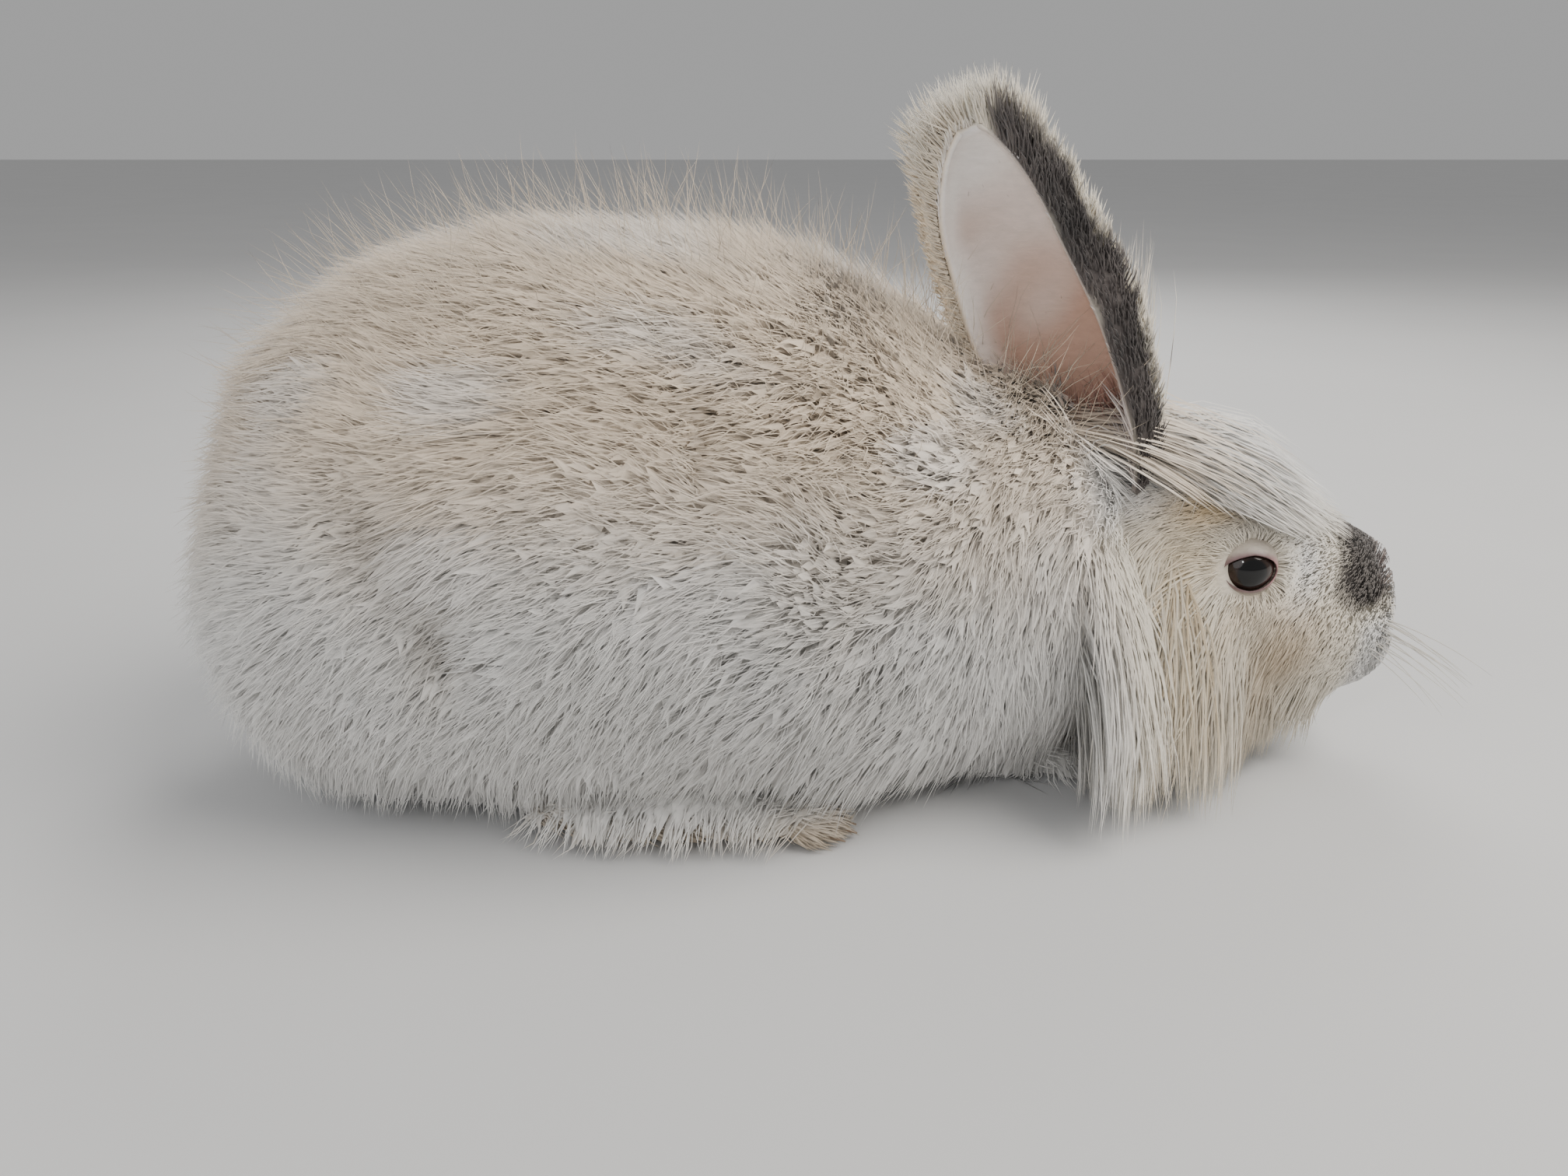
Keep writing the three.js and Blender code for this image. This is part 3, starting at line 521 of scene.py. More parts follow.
def scatter(surface, density, count):
    """Seeded roots spread over a surface by area times density, with their normals."""
    places, normals = surface
    area = np.linalg.norm(
        np.cross(places[:, 1] - places[:, 0], places[:, 2] - places[:, 0]), axis=1
    )
    weight = area * density(places.mean(axis=1), normals.mean(axis=1))
    chosen = rng.choice(len(weight), size=count, p=weight / weight.sum())
    a, b = rng.random(count), rng.random(count)
    fold = a + b > 1
    a[fold], b[fold] = 1 - a[fold], 1 - b[fold]
    shares = np.column_stack([1 - a - b, a, b])
    root = np.einsum("nk,nkd->nd", shares, places[chosen])
    normal = unit(np.einsum("nk,nkd->nd", shares, normals[chosen]))
    return root, normal


# %% [markdown]
# A tuft's path starts along its first direction and turns evenly into its last one. A small
# sideways swing makes it wavy, as wool is. Paths are then drawn together round a few leading
# tufts, which makes locks, kept out of the forms below, and bent along the floor.

# %% Paths of tufts
def tuft_paths(root, normal, first, last, length, wave, rings=3, sink=1.5):
    """Places along each tuft, from below the skin to the tip."""
    t = np.linspace(0, 1, rings + 1)
    run = first[:, None, :] * (t - t**2 / 2)[None, :, None]
    run += last[:, None, :] * (t**2 / 2)[None, :, None]
    path = root[:, None, :] + length[:, None, None] * run * 1.15
    path[:, 0] -= normal * sink
    side = unit(np.cross(last, normal + 0.01))
    phase = rng.uniform(0, 2 * math.pi, len(root))[:, None]
    swing = np.sin(phase + t[None, :] * 5.0) - np.sin(phase)
    return path + side[:, None, :] * (swing * wave[:, None])[:, :, None]


def nearest_of(places, targets):
    tree = KDTree(len(places))
    for i, place in enumerate(places):
        tree.insert(place, i)
    tree.balance()
    return np.array([tree.find(target)[1] for target in targets])


def gathered(root, path, leaders, pull, keep=0.25):
    """Draws the outer part of every tuft towards the nearest leading tuft's."""
    nearest = nearest_of(root[:leaders], root)
    share = pull * np.linspace(0, 1, path.shape[1]) ** 1.3
    aim = path[nearest] + keep * (root - root[nearest])[:, None, :]
    return path + (aim - path) * share[None, :, None]


def clear_of(path, stations, core, margin):
    """Lifts the tufts that would dive into a lofted form back to its surface."""
    x, y, z = (path[:, 1:, k] for k in range(3))
    near = (x > stations[0, 0]) & (x < stations[-1, 0])
    middle, wide, top, bottom = form_at(x.ravel(), stations, core)
    middle, wide, top, bottom = (v.reshape(x.shape) for v in (middle, wide, top, bottom))
    up = np.where(z > middle, top, bottom) + margin
    reach = np.sqrt((y / (wide + margin)) ** 2 + ((z - middle) / up) ** 2)
    grow = np.where(near & (reach < 1), 1 / np.maximum(reach, 0.5), 1.0)
    path[:, 1:, 1] = y * grow
    path[:, 1:, 2] = middle + (z - middle) * grow
    return path


def above_floor(path, clear=0.8, soft=6.0):
    low = path[:, 1:, 2]
    eased = clear + (soft - clear) * np.exp((np.minimum(low, soft) - soft) / soft)
    path[:, 1:, 2] = np.where(low < soft, eased, low)
    return path


# %% [markdown]
# The tufts of a piece become one mesh. Their normals are partly those of the form below: wool
# scatters light so much that single hairs hardly shade by themselves, and this keeps the coat
# soft where plain normals would make it look like straw.

# %% Mesh of tufts
def tuft_mesh(name, path, normal, width, root_uv, colour, tip, soft):
    """One mesh of closed, tapered tufts, with their colours and their patches for baking."""
    count, rings = path.shape[0], path.shape[1] - 1
    along = unit(np.gradient(path, axis=1))
    side = unit(np.cross(along, normal[:, None, :] + 0.013))
    out = np.cross(side, along)
    taper = np.sqrt(1 - np.arange(rings) / rings * TIP_WIDTH)
    wide = (width[:, None] * taper[None, :] / 2)[:, :, None, None]
    turn = SECTION[None, None, :, None]
    around = side[:, :rings, None, :] * np.cos(turn) * 1.15
    around += out[:, :rings, None, :] * np.sin(turn) * FLAT
    ring = path[:, :rings, None, :] + around * wide
    verts = np.concatenate([ring.reshape(count, rings * 3, 3), path[:, -1:, :]], axis=1)
    per = rings * 3 + 1
    quads = [
        (3 * k + i, 3 * k + 3 + i, 3 * k + 3 + (i + 1) % 3, 3 * k + (i + 1) % 3)
        for k in range(rings - 1)
        for i in range(3)
    ]
    end = 3 * (rings - 1)
    triangles = [(0, 1, 2)] + [(end + i, per - 1, end + (i + 1) % 3) for i in range(3)]
    loops = np.concatenate([np.ravel(quads), np.ravel(triangles)]).astype(np.int64)
    sizes = np.tile([4] * len(quads) + [3] * len(triangles), count)
    base = (np.arange(count) * per)[:, None]
    mesh = bpy.data.meshes.new(name)
    mesh.vertices.add(count * per)
    mesh.vertices.foreach_set("co", verts.ravel())
    mesh.loops.add(count * len(loops))
    mesh.loops.foreach_set("vertex_index", (base + loops[None, :]).ravel())
    mesh.polygons.add(len(sizes))
    mesh.polygons.foreach_set("loop_start", np.concatenate([[0], np.cumsum(sizes)[:-1]]))
    mesh.polygons.foreach_set("use_smooth", np.ones(len(sizes), dtype=bool))
    mesh.update(calc_edges=True)
    mesh.validate()
    own = unit(np.concatenate([around.reshape(count, rings * 3, 3), along[:, -1:, :]], axis=1))
    mixed = unit(own * (1 - soft) + normal[:, None, :] * soft + 1e-4)
    mesh.normals_split_custom_set_from_vertices(mixed.reshape(-1, 3))
    # Each tuft runs from its root colour into its tip colour, and is painted darker towards the
    # root: painted shade deep in the coat.
    share = np.append(np.repeat(np.arange(rings) / rings, 3), 1.0)[None, :, None]
    tint = colour[:, None, :] * (1 - share) + tip[:, None, :] * share
    paint(mesh, np.clip(tint * (0.92 + 0.09 * share), 0, 1).reshape(-1, 3))
    layer = mesh.uv_layers.new(name="OFBake")
    spots = np.array([(i / 3, k / rings) for k in range(rings) for i in range(3)] + [(0.5, 1.0)])
    patch = root_uv[:, None, :] + (spots[loops] - 0.5)[None, :, :] * PATCH
    layer.data.foreach_set("uv", patch.reshape(-1, 2).ravel())
    return linked(name, mesh)


# %% [markdown]
# Each tuft's patch for baking lies where its root lies on an unwrap of the form that it grows
# on. A body and a head are close to balls that are drawn out along X, so the turn away from
# the nose and the turn round X are their unwrap, with a little room left at the border.

# %% Pieces of coat
def unwrap_round(p, middle, size):
    way = unit((p - np.array(middle)) / np.array(size))
    u = np.arccos(np.clip(way[:, 0], -1, 1)) / math.pi
    v = np.arctan2(way[:, 2], way[:, 1]) / (2 * math.pi) + 0.5
    return 0.01 + 0.98 * np.column_stack([u, v])


BODY_FORM = ((-45, 0, 84), (150, 75, 75))
HEAD_FORM = ((150, 0, 60), (65, 36, 48))
SHADE_SPREAD = 0.05


def finished(piece, material):
    piece.data.materials.append(material)
    pieces.append(piece)
    return piece


def add_coat(name, slot, grown, uv, material, split=1, soft=0.4):
    """Cuts one region's tufts into pieces along X, so that each stays small enough."""
    root, normal, path, width, colour, tip = grown
    light = 1 + SHADE_SPREAD * rng.normal(size=(len(root), 1))
    order = np.array_split(np.argsort(root[:, 0]), split)
    for k, part in enumerate(order):
        title = f"{name}_{k + 1}" if split > 1 else name
        shade = np.clip(colour[part] * light[part], 0, 1)
        tips = np.clip(tip[part] * light[part], 0, 1)
        own = (path[part], normal[part], width[part], uv[part], shade, tips)
        finished(tuft_mesh(title, *own, soft), material)
    print(name, len(root), "tufts in", split, "pieces")


# %% [markdown]
# The wool of body, neck and chest stands out from the skin like plush, leans back over the
# rump and hangs along the hem. Slow waves turn it here and there, so that it looks ruffled
# instead of combed. Broad soft tufts fill the coat, and fine ones break its outline.

# %% Wool of the body
SURFACE = surface_of(skin.data)


def in_head(p):
    return step(90, 102, p[:, 0] + 0.1 * (p[:, 2] - 76))


def in_feet(p):
    x, y, z = p[:, 0], np.abs(p[:, 1]), p[:, 2]
    hind = step(14, 9, z) * step(18, 12, np.abs(y - 66)) * (x > -90) * (x < 40)
    fore = step(14, 9, z) * step(20, 12, np.abs(y - 21)) * (x > 76) * (x < 115)
    return np.maximum(hind, fore)


def body_density(p, n):
    shown = 0.35 + 0.65 * step(-0.9, -0.2, n[:, 2])
    neck = 1 + 0.6 * step(40, 66, p[:, 0])
    return (1 - in_head(p)) * (1 - in_feet(p)) * shown * neck * (p[:, 2] > 3)


def lie_of_body(p, n):
    y = np.sign(p[:, 1])
    down = 0.25 + 0.75 * step(110, 50, p[:, 2]) + 0.5 * step(40, 100, p[:, 0])
    back = -1.0 + 0.5 * step(60, 30, p[:, 2])
    back += 0.35 * step(20, 90, p[:, 0]) * step(120, 80, p[:, 2])
    lie = xyz(back, 0.1 * y, -down + 0.3 * waves(p, 55, 21))
    return across(lie + 0.34 * xyz(waves(p, 26, 22), waves(p, 26, 23), waves(p, 26, 24)), n)


def grow_body(count, broad):
    root, normal = scatter(SURFACE, body_density, count)
    lie = lie_of_body(root, normal)
    low = step(48, 22, root[:, 2])
    neck = step(30, 62, root[:, 0])
    stray = rng.normal(size=(count, 3)) * 0.12
    rise = 0.62 - 0.2 * low - 0.3 * neck
    first = unit(normal * rise[:, None] + lie * (0.5 + 0.3 * low + 0.3 * neck)[:, None] + stray)
    last = normal * (0.22 - 0.15 * low - 0.12 * neck)[:, None] + lie * 0.9 + stray * 1.5
    last = unit(last + xyz(0, 0, -1.3 * low))
    length = (20.5 + 2.5 * waves(root, 30, 31)) * rng.uniform(0.75, 1.15, count)
    hem = 0.5 * step(-110, -170, root[:, 0]) + 0.45 * step(-20, 15, root[:, 0])
    length *= (1 + low * hem) * (0.62 if broad else 1.0) * (1 - 0.16 * np.abs(normal[:, 1]))
    path = tuft_paths(root, normal, first, last, length, rng.uniform(0.5, 1.8, count), 2)
    path = gathered(root, path, count // 24, 0.30)
    width = rng.uniform(3.0, 4.6, count) if broad else rng.uniform(0.36, 0.62, count)
    colour = markings_and_shade(root)
    return root, normal, above_floor(path), width, colour, colour * 1.04


def add_round(name, slot, grown, form, material, **rest):
    add_coat(name, slot, grown, unwrap_round(grown[0], *form), material, **rest)


few = 1.0
UNDER_TUFTS, OVER_TUFTS = int(16000 * few), int(58500 * few)
under = grow_body(UNDER_TUFTS, True)
add_round("coat_body_under", "wool", under, BODY_FORM, WOOL, split=2, soft=0.92)
over = grow_body(OVER_TUFTS, False)
add_round("coat_body_over", "wool", over, BODY_FORM, WOOL, split=3, soft=0.82)

# %% [markdown]
# The head has five kinds of fur: short fur on the muzzle and round the eye, a thicker cheek,
# the beard that hangs from the back of the cheek and the jaw, the forelock that sweeps from
# between the ears over the brow to the nose, and plush at the nape. One field of length and
# one of direction blend them, so that no border shows.

# %% Fur of the head
EYE_ROOM = (9.6, 7.0)
LONG_FROM = 15
HEAD_TUFTS = int(37000 * few)


def eye_reach(p):
    """Below 1 in the opening of the eye and its lids, seen from the side."""
    x = (p[..., 0] - EYE["at"][0]) / EYE_ROOM[0]
    z = (p[..., 2] - EYE["at"][2]) / EYE_ROOM[1]
    return np.sqrt(x**2 + z**2) + 10.0 * (np.abs(p[..., 1]) < 20)


def head_zones(p):
    x, y, z = p[:, 0], np.abs(p[:, 1]), p[:, 2]
    beard = step(7, -7, x + 0.79 * (z - 80) - 136) * step(98, 84, z) * step(4, 14, y)
    jaw = step(44, 30, z) * step(203, 186, x)
    crown = step(154, 132, x) * step(102, 109, z) * step(32, 22, y)
    brow = step(196, 168, x) * step(16, 8, y) * step(84, 96, z)
    cheek = spot(p, (166, 24, 50), (18, 18, 17))
    nape = step(118, 104, x)
    return beard, jaw, crown, brow, cheek, nape


def head_density(p, n):
    beard, jaw, crown, brow, cheek, nape = head_zones(p)
    short = 1 - np.clip(beard + jaw + crown + nape, 0, 1)
    bare = spot(p, (214, 0, 63), (8, 6, 5)) + spot(p, (214, 0, 54), (6, 1.5, 6))
    haired = (eye_reach(p) > 1.0) * (bare < 0.5)
    return in_head(p) * (0.5 + 1.5 * short + 1.5 * crown + 0.5 * beard) * haired


def grow_head(count):
    root, normal = scatter(SURFACE, head_density, count)
    beard, jaw, crown, brow, cheek, nape = (zone[:, None] for zone in head_zones(root))
    x, z, side = root[:, 0:1], root[:, 2:3], np.sign(root[:, 1])
    stray = rng.normal(size=(count, 3))
    back = xyz(-1.0, 0, -0.35 - 0.7 * step(80, 50, z[:, 0]))
    hang = xyz(-0.10, 0.30 * side, -1.0)
    forward = xyz(1.0, 0.06 * side, -0.24)
    sweep = xyz(1.0, 0.14 * side, -0.80)
    long = np.clip(beard + jaw, 0, 1)
    front = np.clip(crown + brow, 0, 1)
    lie = back * (1 - long) + hang * long + 0.6 * cheek * hang
    lie = lie * (1 - front) + (forward * crown + sweep * brow * (1 - crown)) * front
    from_eye = root - np.array(EYE["at"]) * xyz(1.0, side, 1.0)
    near_eye = step(2.3, 1.2, eye_reach(root))[:, None]
    lie = lie * (1 - 0.75 * near_eye) + unit(across(from_eye, normal)) * near_eye
    lie = across(lie + 0.12 * stray, normal)
    upright = 0.18 + 0.42 * beard + 0.35 * jaw - 0.06 * crown + 0.4 * nape + 0.3 * cheek
    first = unit(normal * upright + lie + 0.10 * stray)
    last = lie + normal * (0.03 + 0.12 * beard) + (0.08 + 0.16 * beard) * stray
    last = last * (1 - 0.8 * long) + hang * long * 1.2
    last = unit(last * (1 - crown) + sweep * crown)
    side_fur = spot(root, (134, 32, 92), (20, 16, 22))[:, None]
    length = 2.8 + 2.2 * step(200, 184, x) + 8 * cheek + 6 * side_fur + 18 * brow + 20 * nape
    length = length * (1 - jaw) + np.clip(z - 7, 9, 36) * jaw
    hanging = np.clip(0.97 * z - 12 * step(140, 188, x), 18, 74)
    length = length * (1 - beard) + hanging * beard
    length = length * (1 - crown) + (74 - 0.9 * (x - 110)) * crown
    by_ear = np.clip(1.5 * spot(root, (101, 34, 103), (19, 19, 19)), 0, 1)[:, None]
    length = length * (1 - by_ear) + 11 * by_ear
    length = length[:, 0] * rng.uniform(0.66, 1.06, count)
    width = 0.44 + 0.010 * np.minimum(length, 36)
    width *= rng.uniform(0.7, 1.2, count)
    wave = 0.014 * length * rng.uniform(0.3, 1.6, count)
    return root, normal, first, last, length, wave, width


def over_brow(path):
    """True where a forelock's tuft would hang in front of the eye and its brow."""
    x, z = path[:, 2:, 0], path[:, 2:, 2]
    low = 99.0 - 0.32 * (x - 135)
    return ((z < low) & (x < 186) & (np.abs(path[:, 2:, 1]) > 10)).any(axis=1)


def head_coat(count):
    """Short fur and long fur as separate pieces, as long tufts need more rings to bend."""
    root, normal, first, last, length, wave, width = grow_head(count)
    sets = {"face": length < LONG_FROM, "long": length >= LONG_FROM}
    for kind, part in sets.items():
        rings = 2 if kind == "face" else 4
        grown = [v[part] for v in (root, normal, first, last, length, wave)]
        path = tuft_paths(*grown, rings=rings, sink=1.0)
        if kind == "long":
            path = gathered(root[part], path, part.sum() // 18, 0.5, keep=0.35)
        path = above_floor(clear_of(path, HEAD, HEAD_CORE, 1.5))
        seen = (eye_reach(path[:, 1:]) > 0.97).all(axis=1)
        if kind == "long":
            seen &= ~(over_brow(path) & (root[part][:, 2] > 100))
        colour = markings_and_shade(root[part])
        tip = np.clip(0.45 * markings_and_shade(path[:, -1]) + 0.55 * colour, 0, 1) * 1.04
        keep = [v[seen] for v in (root[part], normal[part], path, width[part], colour, tip)]
        split = 1 if kind == "face" else 2
        add_round("coat_head_" + kind, "face_fur", keep, HEAD_FORM, FUR, split=split, soft=0.6)


FUR = fur_material("face fur", 700.0, 0.16, 0.0, Roughness=0.62, Sheen_Weight=0.3)
head_coat(HEAD_TUFTS)

# %% [markdown]
# An ear is a long cup, open to the side, whose front edge is rolled over. It is a grid bent
# along the ear's path: one way of the grid runs from base to tip, the other from the rear edge
# round the back of the cup to the front edge. Solidify gives it the thickness of skin.

# %% Ears
EAR = [
    [0.00, 108, 17, 102, 13.0, 10],
    [0.25, 99, 21, 125, 20.0, 12],
    [0.50, 84, 25, 152, 25.5, 12],
    [0.75, 69, 27, 182, 22.0, 10],
    [1.00, 54, 28, 215, 16.0, 7],
]
EAR_TURN = (-1.25, 2.5)
EAR_THICK = 2.2
EAR_TUFTS = int(11000 * few)


def ear_line(t):
    """The ear's middle, half width and depth at t, from 0 at its base to 1 at its tip."""
    shares, *columns = np.array(EAR).T
    x, y, z, wide, deep = (smooth_through(t, shares, column) for column in columns)
    return np.column_stack([x, y, z]), wide, deep


def ear_point(t, turn, off, side):
    """A place on the ear: t from base to tip, turn round the cup, off from its middle layer."""
    t = np.clip(t, 0, 1)
    middle, wide, deep = ear_line(t)
    along = unit(ear_line(np.clip(t + 0.01, 0, 1))[0] - ear_line(np.clip(t - 0.01, 0, 1))[0])
    forward = unit(np.array([1, 0.12, 0]) - along * along[:, 0:1])
    open_way = unit(np.cross(along, forward))
    open_way *= np.sign(open_way[:, 1:2])
    size = np.sqrt(1 - np.maximum(0, (t - 0.8) / 0.2) ** 2 * 0.94)
    wide, deep = wide * size, deep * size
    flat = np.column_stack([wide * np.sin(turn), -deep * np.cos(turn)])
    outwards = unit(np.column_stack([np.sin(turn) / wide, -np.cos(turn) / deep]))
    flat += outwards * np.reshape(off, (-1, 1))
    place = middle + forward * flat[:, 0:1] + open_way * flat[:, 1:2]
    mirror = np.array([1, side, 1])
    return place * mirror, along * mirror, forward


def ear_colour(t, turn, outer, p):
    """Colour of the ear's fur and skin by place on the ear."""
    edge = waves(p, 12, 41) * 0.12
    pink = np.tile(linear((0.74, 0.60, 0.53)), (len(t), 1))
    # The base of the cup is deeper pink: partly the ear's own colour, partly painted shade in its
    # deep fold.
    deep_pink_and_shade = linear((0.60, 0.42, 0.37))
    base = step(0.42, 0.1, t) * np.exp(-(((turn - 0.6) / 1.1) ** 2))
    pink = pink * (1 - base[:, None]) + deep_pink_and_shade * base[:, None]
    rim = np.clip(step(-0.55, -1.1, turn) + step(1.3, 1.9, turn) + step(0.78, 0.95, t), 0, 1)
    pink = blend(pink, "white", rim * 0.6)
    pink = blend(pink, "white", step(0.45, 0.9, t + edge) * 0.5)
    back = np.tile(COLOURS["cream"], (len(t), 1))
    back = blend(back, "fawn", step(0.3, -0.6, turn) * 0.5)
    band = step(1.5, 1.8, turn + edge) * step(2.75, 2.5, turn + edge)
    band = band * step(0.97, 0.86, t + edge)
    dark = COLOURS["smoke"] * (1 - 0.25 * waves(p, 16, 43)[:, None])
    back = back * (1 - band[:, None]) + dark * band[:, None]
    return np.clip(np.where(outer[:, None], back, pink), 0, 1)


def ear_skin(side, name):
    bm = bmesh.new()
    bmesh.ops.create_grid(bm, x_segments=44, y_segments=36, size=0.5)
    grid = np.array([vert.co for vert in bm.verts]) + 0.5
    t = 1 - (1 - np.clip(grid[:, 0], 0, 1)) ** 1.15
    turn = EAR_TURN[0] + (EAR_TURN[1] - EAR_TURN[0]) * grid[:, 1]
    place, _, _ = ear_point(t, turn, 0 * t, side)
    for vert, co in zip(bm.verts, place):
        vert.co = co
    bmesh.ops.recalc_face_normals(bm, faces=bm.faces)
    bmesh.ops.solidify(bm, geom=bm.faces[:] + bm.verts[:] + bm.edges[:], thickness=EAR_THICK)
    bmesh.ops.recalc_face_normals(bm, faces=bm.faces)
    piece = object_of(bm, name, smooth=True)
    co = vertices_of(piece.data)
    near = nearest_of(place, co)
    beyond, _, _ = ear_point(t, turn, 0 * t + 1.0, side)
    away = np.sum((co - place[near]) * (beyond - place)[near], axis=1)
    outer = away > (away.min() + away.max()) / 2
    print(name, int(outer.sum()), "outer of", len(co), "vertices")
    paint(piece.data, ear_colour(t[near], turn[near], outer, co))
    return finished(piece, EAR_SKIN)


# %% Fur of the ears
def ear_coat(side, name, count):
    """Short fur outside, longer fur at the edges, a tuft at the tip and fluff at the base."""
    kind = rng.random(count)
    t = rng.beta(1.15, 0.9, count) * 0.99
    turn = rng.uniform(*EAR_TURN, count)
    kind[rng.random(count) < 0.22] = 0.1
    outer = kind > 0.16
    rear, front = (kind > 0.16) & (kind < 0.24), (kind > 0.24) & (kind < 0.34)
    turn[rear] = rng.uniform(EAR_TURN[0] - 0.05, EAR_TURN[0] + 0.2, rear.sum())
    turn[front] = rng.uniform(1.15, 1.75, front.sum())
    tip = (kind > 0.34) & (kind < 0.50)
    t[tip] = rng.uniform(0.82, 1.0, tip.sum())
    fluff = kind < 0.05
    t[fluff] = rng.uniform(0.02, 0.22, fluff.sum())
    off = np.where(outer, 0.9, -0.9)
    root, along, forward = ear_point(t, turn, off, side)
    beyond, _, _ = ear_point(t, turn, off * 2.5, side)
    normal = unit(beyond - root)
    stray = rng.normal(size=(count, 3))
    edge = (rear * -0.3 + front * 0.2 + 0.12 * tip * (turn - 0.6))[:, None]
    lie = unit(along + forward * edge + 0.12 * stray)
    first = unit(lie + normal * (0.3 + 0.5 * (front | rear))[:, None])
    last = unit(lie + normal * 0.12 + 0.12 * stray)
    length = rng.uniform(3.0, 5.5, count) + 2.5 * front
    top = step(0.84, 0.97, t)
    length = length * (1 - top) + rng.uniform(6, 16, count) * top * outer + 5 * top * (1 - outer)
    length = np.where(fluff, rng.uniform(10, 20, count), length)
    length = np.where(outer | fluff | (top > 0), length, rng.uniform(1.6, 3.4, count))
    width = 0.7 + 0.012 * length * rng.uniform(0.8, 1.4, count)
    path = tuft_paths(root, normal, first, last, length, 0.03 * length, rings=2, sink=0.6)
    colour = ear_colour(t, turn, outer, root)
    pale = (top * step(2.2, 1.7, turn))[:, None]
    tips = np.clip(colour * (1.0 - pale) + COLOURS["cream"] * pale, 0, 1)
    uv = 0.02 + 0.96 * np.column_stack([t, (turn - EAR_TURN[0] + 0.05) / 7.6 + 0.5 * outer])
    grown = (root, normal, path, width, colour, tips)
    add_coat(name, "ear_skin", grown, uv, FUR, soft=0.08)


EAR_SKIN = fur_material("ear skin", 500.0, 0.12, 0.35, Roughness=0.55, Sheen_Weight=0.15)
for side, hand in HANDS:
    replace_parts(ear_skin(side, f"ear_skin_{hand}"), f"ear_{hand}")
    ear_coat(side, f"coat_ear_{hand}", EAR_TUFTS)

# %% [markdown]
# The eye is a dark, wet ball that sits deep in the head, so that only the opening between the
# lids shows. The lids are rings, laid over a slightly larger ball and bridged, with an almond
# opening. That keeps their edge clean, where cutting a ball's faces would leave it jagged.

# %% Eyes and lids
LID_RADIUS = 10.7
LID_THICK = 0.6
OPENING = (8.9, 6.3)
PUPIL = (4.6, 5.2)


def eye_middle(side):
    return np.array(EYE["at"]) * (1, side, 1)


def eyeball(side, name):
    bm = bmesh.new()
    place = Matrix.Translation(eye_middle(side)) @ Matrix.Rotation(math.pi / 2, 4, "X")
    bmesh.ops.create_uvsphere(bm, u_segments=48, v_segments=32, radius=EYE["radius"], matrix=place)
    piece = object_of(bm, name, smooth=True)
    co = vertices_of(piece.data) - eye_middle(side)
    away = np.hypot(co[:, 0], co[:, 2])
    iris = step(*PUPIL, away)[:, None]
    brown = linear((0.15, 0.10, 0.075)) * (1 + 0.3 * waves(co, 2.0, 51)[:, None])
    paint(piece.data, np.clip(linear((0.03, 0.028, 0.03)) * (1 - iris) + brown * iris, 0, 1))
    return finished(piece, WET)


def lid_ring(bm, side, share, radius):
    """One loop of a lid, from the opening's edge (share 0) to its hidden outer edge (share 1)."""
    hidden = LID_RADIUS * 0.985
    wide = OPENING[0] + (hidden - OPENING[0]) * share
    high = OPENING[1] + (hidden - OPENING[1]) * share
    made = bmesh.ops.create_circle(bm, cap_ends=False, segments=48, radius=1.0)
    for i, vert in enumerate(made["verts"]):
        angle = 2 * math.pi * i / 48
        corner = math.exp(-(((angle + 0.35 + math.pi) % (2 * math.pi) - math.pi) / 0.35) ** 2)
        x = (wide + 0.7 * corner * (1 - share)) * math.cos(angle)
        z = high * math.sin(angle) * (1 - 0.12 * (1 - share) * abs(math.cos(angle)))
        depth = math.sqrt(max(radius**2 - x**2 - z**2, 0.2))
        vert.co = eye_middle(side) + (x, side * depth, z)
    return list({edge for vert in made["verts"] for edge in vert.link_edges})


def lids(side, name):
    bm = bmesh.new()
    rings = 9
    loops = [lid_ring(bm, side, k / rings, LID_RADIUS) for k in range(rings + 1)]
    inner = LID_RADIUS - LID_THICK
    loops += [lid_ring(bm, side, k / rings, inner) for k in range(rings, -1, -1)]
    for one, two in zip(loops, loops[1:] + loops[:1]):
        bmesh.ops.bridge_loops(bm, edges=one + two)
    bmesh.ops.recalc_face_normals(bm, faces=bm.faces)
    piece = object_of(bm, name, smooth=True)
    co = vertices_of(piece.data) - eye_middle(side)
    away = np.hypot(co[:, 0] / OPENING[0], co[:, 2] / OPENING[1])
    rim = step(1.25, 1.0, away)[:, None]
    corner = step(4.0, 9.0, co[:, 0])[:, None]
    edge = linear((0.50, 0.40, 0.40)) * (1 - corner) + linear((0.72, 0.54, 0.54)) * corner
    paint(piece.data, edge * rim + linear((0.70, 0.66, 0.61)) * (1 - rim))
    finished(piece, LEATHER)


GLOSS = {"Roughness": 0.12, "Specular_IOR_Level": 0.2, "Coat_Weight": 0.5}
WET = fur_material("wet eye", 900.0, 0.1, 0.0, **GLOSS)
LEATHER = fur_material("lid skin", 900.0, 0.15, 0.3, Roughness=0.4)
for side, hand in HANDS:
    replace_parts(eyeball(side, f"eyeball_{hand}"), f"eye_{hand}")
    lids(side, f"lids_{hand}")

# %% [markdown]
# The nose is a small bare pad under the dark patch, with a slit of a nostril on each side.

# %% Nose
NOSE = {"at": (207.2, 0.0, 63.5), "size": (5.0, 5.6, 4.4)}
NOSTRIL = {"at": (211.0, 3.6, 64.0), "reach": (4.0, 1.3, 1.5), "depth": 2.6}

bm = bmesh.new()
place = Matrix.Translation(NOSE["at"]) @ Matrix.Diagonal((*NOSE["size"], 1.0))
bmesh.ops.create_uvsphere(bm, u_segments=48, v_segments=32, radius=1.0, matrix=place)
piece = object_of(bm, "nose", smooth=True)
pushed(piece, [(NOSTRIL["at"], NOSTRIL["reach"], (-NOSTRIL["depth"], 0, 0))])
co = vertices_of(piece.data)
dark = np.clip(1.4 * spot(co, NOSTRIL["at"], NOSTRIL["reach"]), 0, 1)
colour = blend(np.tile(COLOURS["pad"], (len(co), 1)), "grey", np.full(len(co), 0.3))
paint(piece.data, blend(colour, "smoke", dark))
finished(piece, LEATHER)

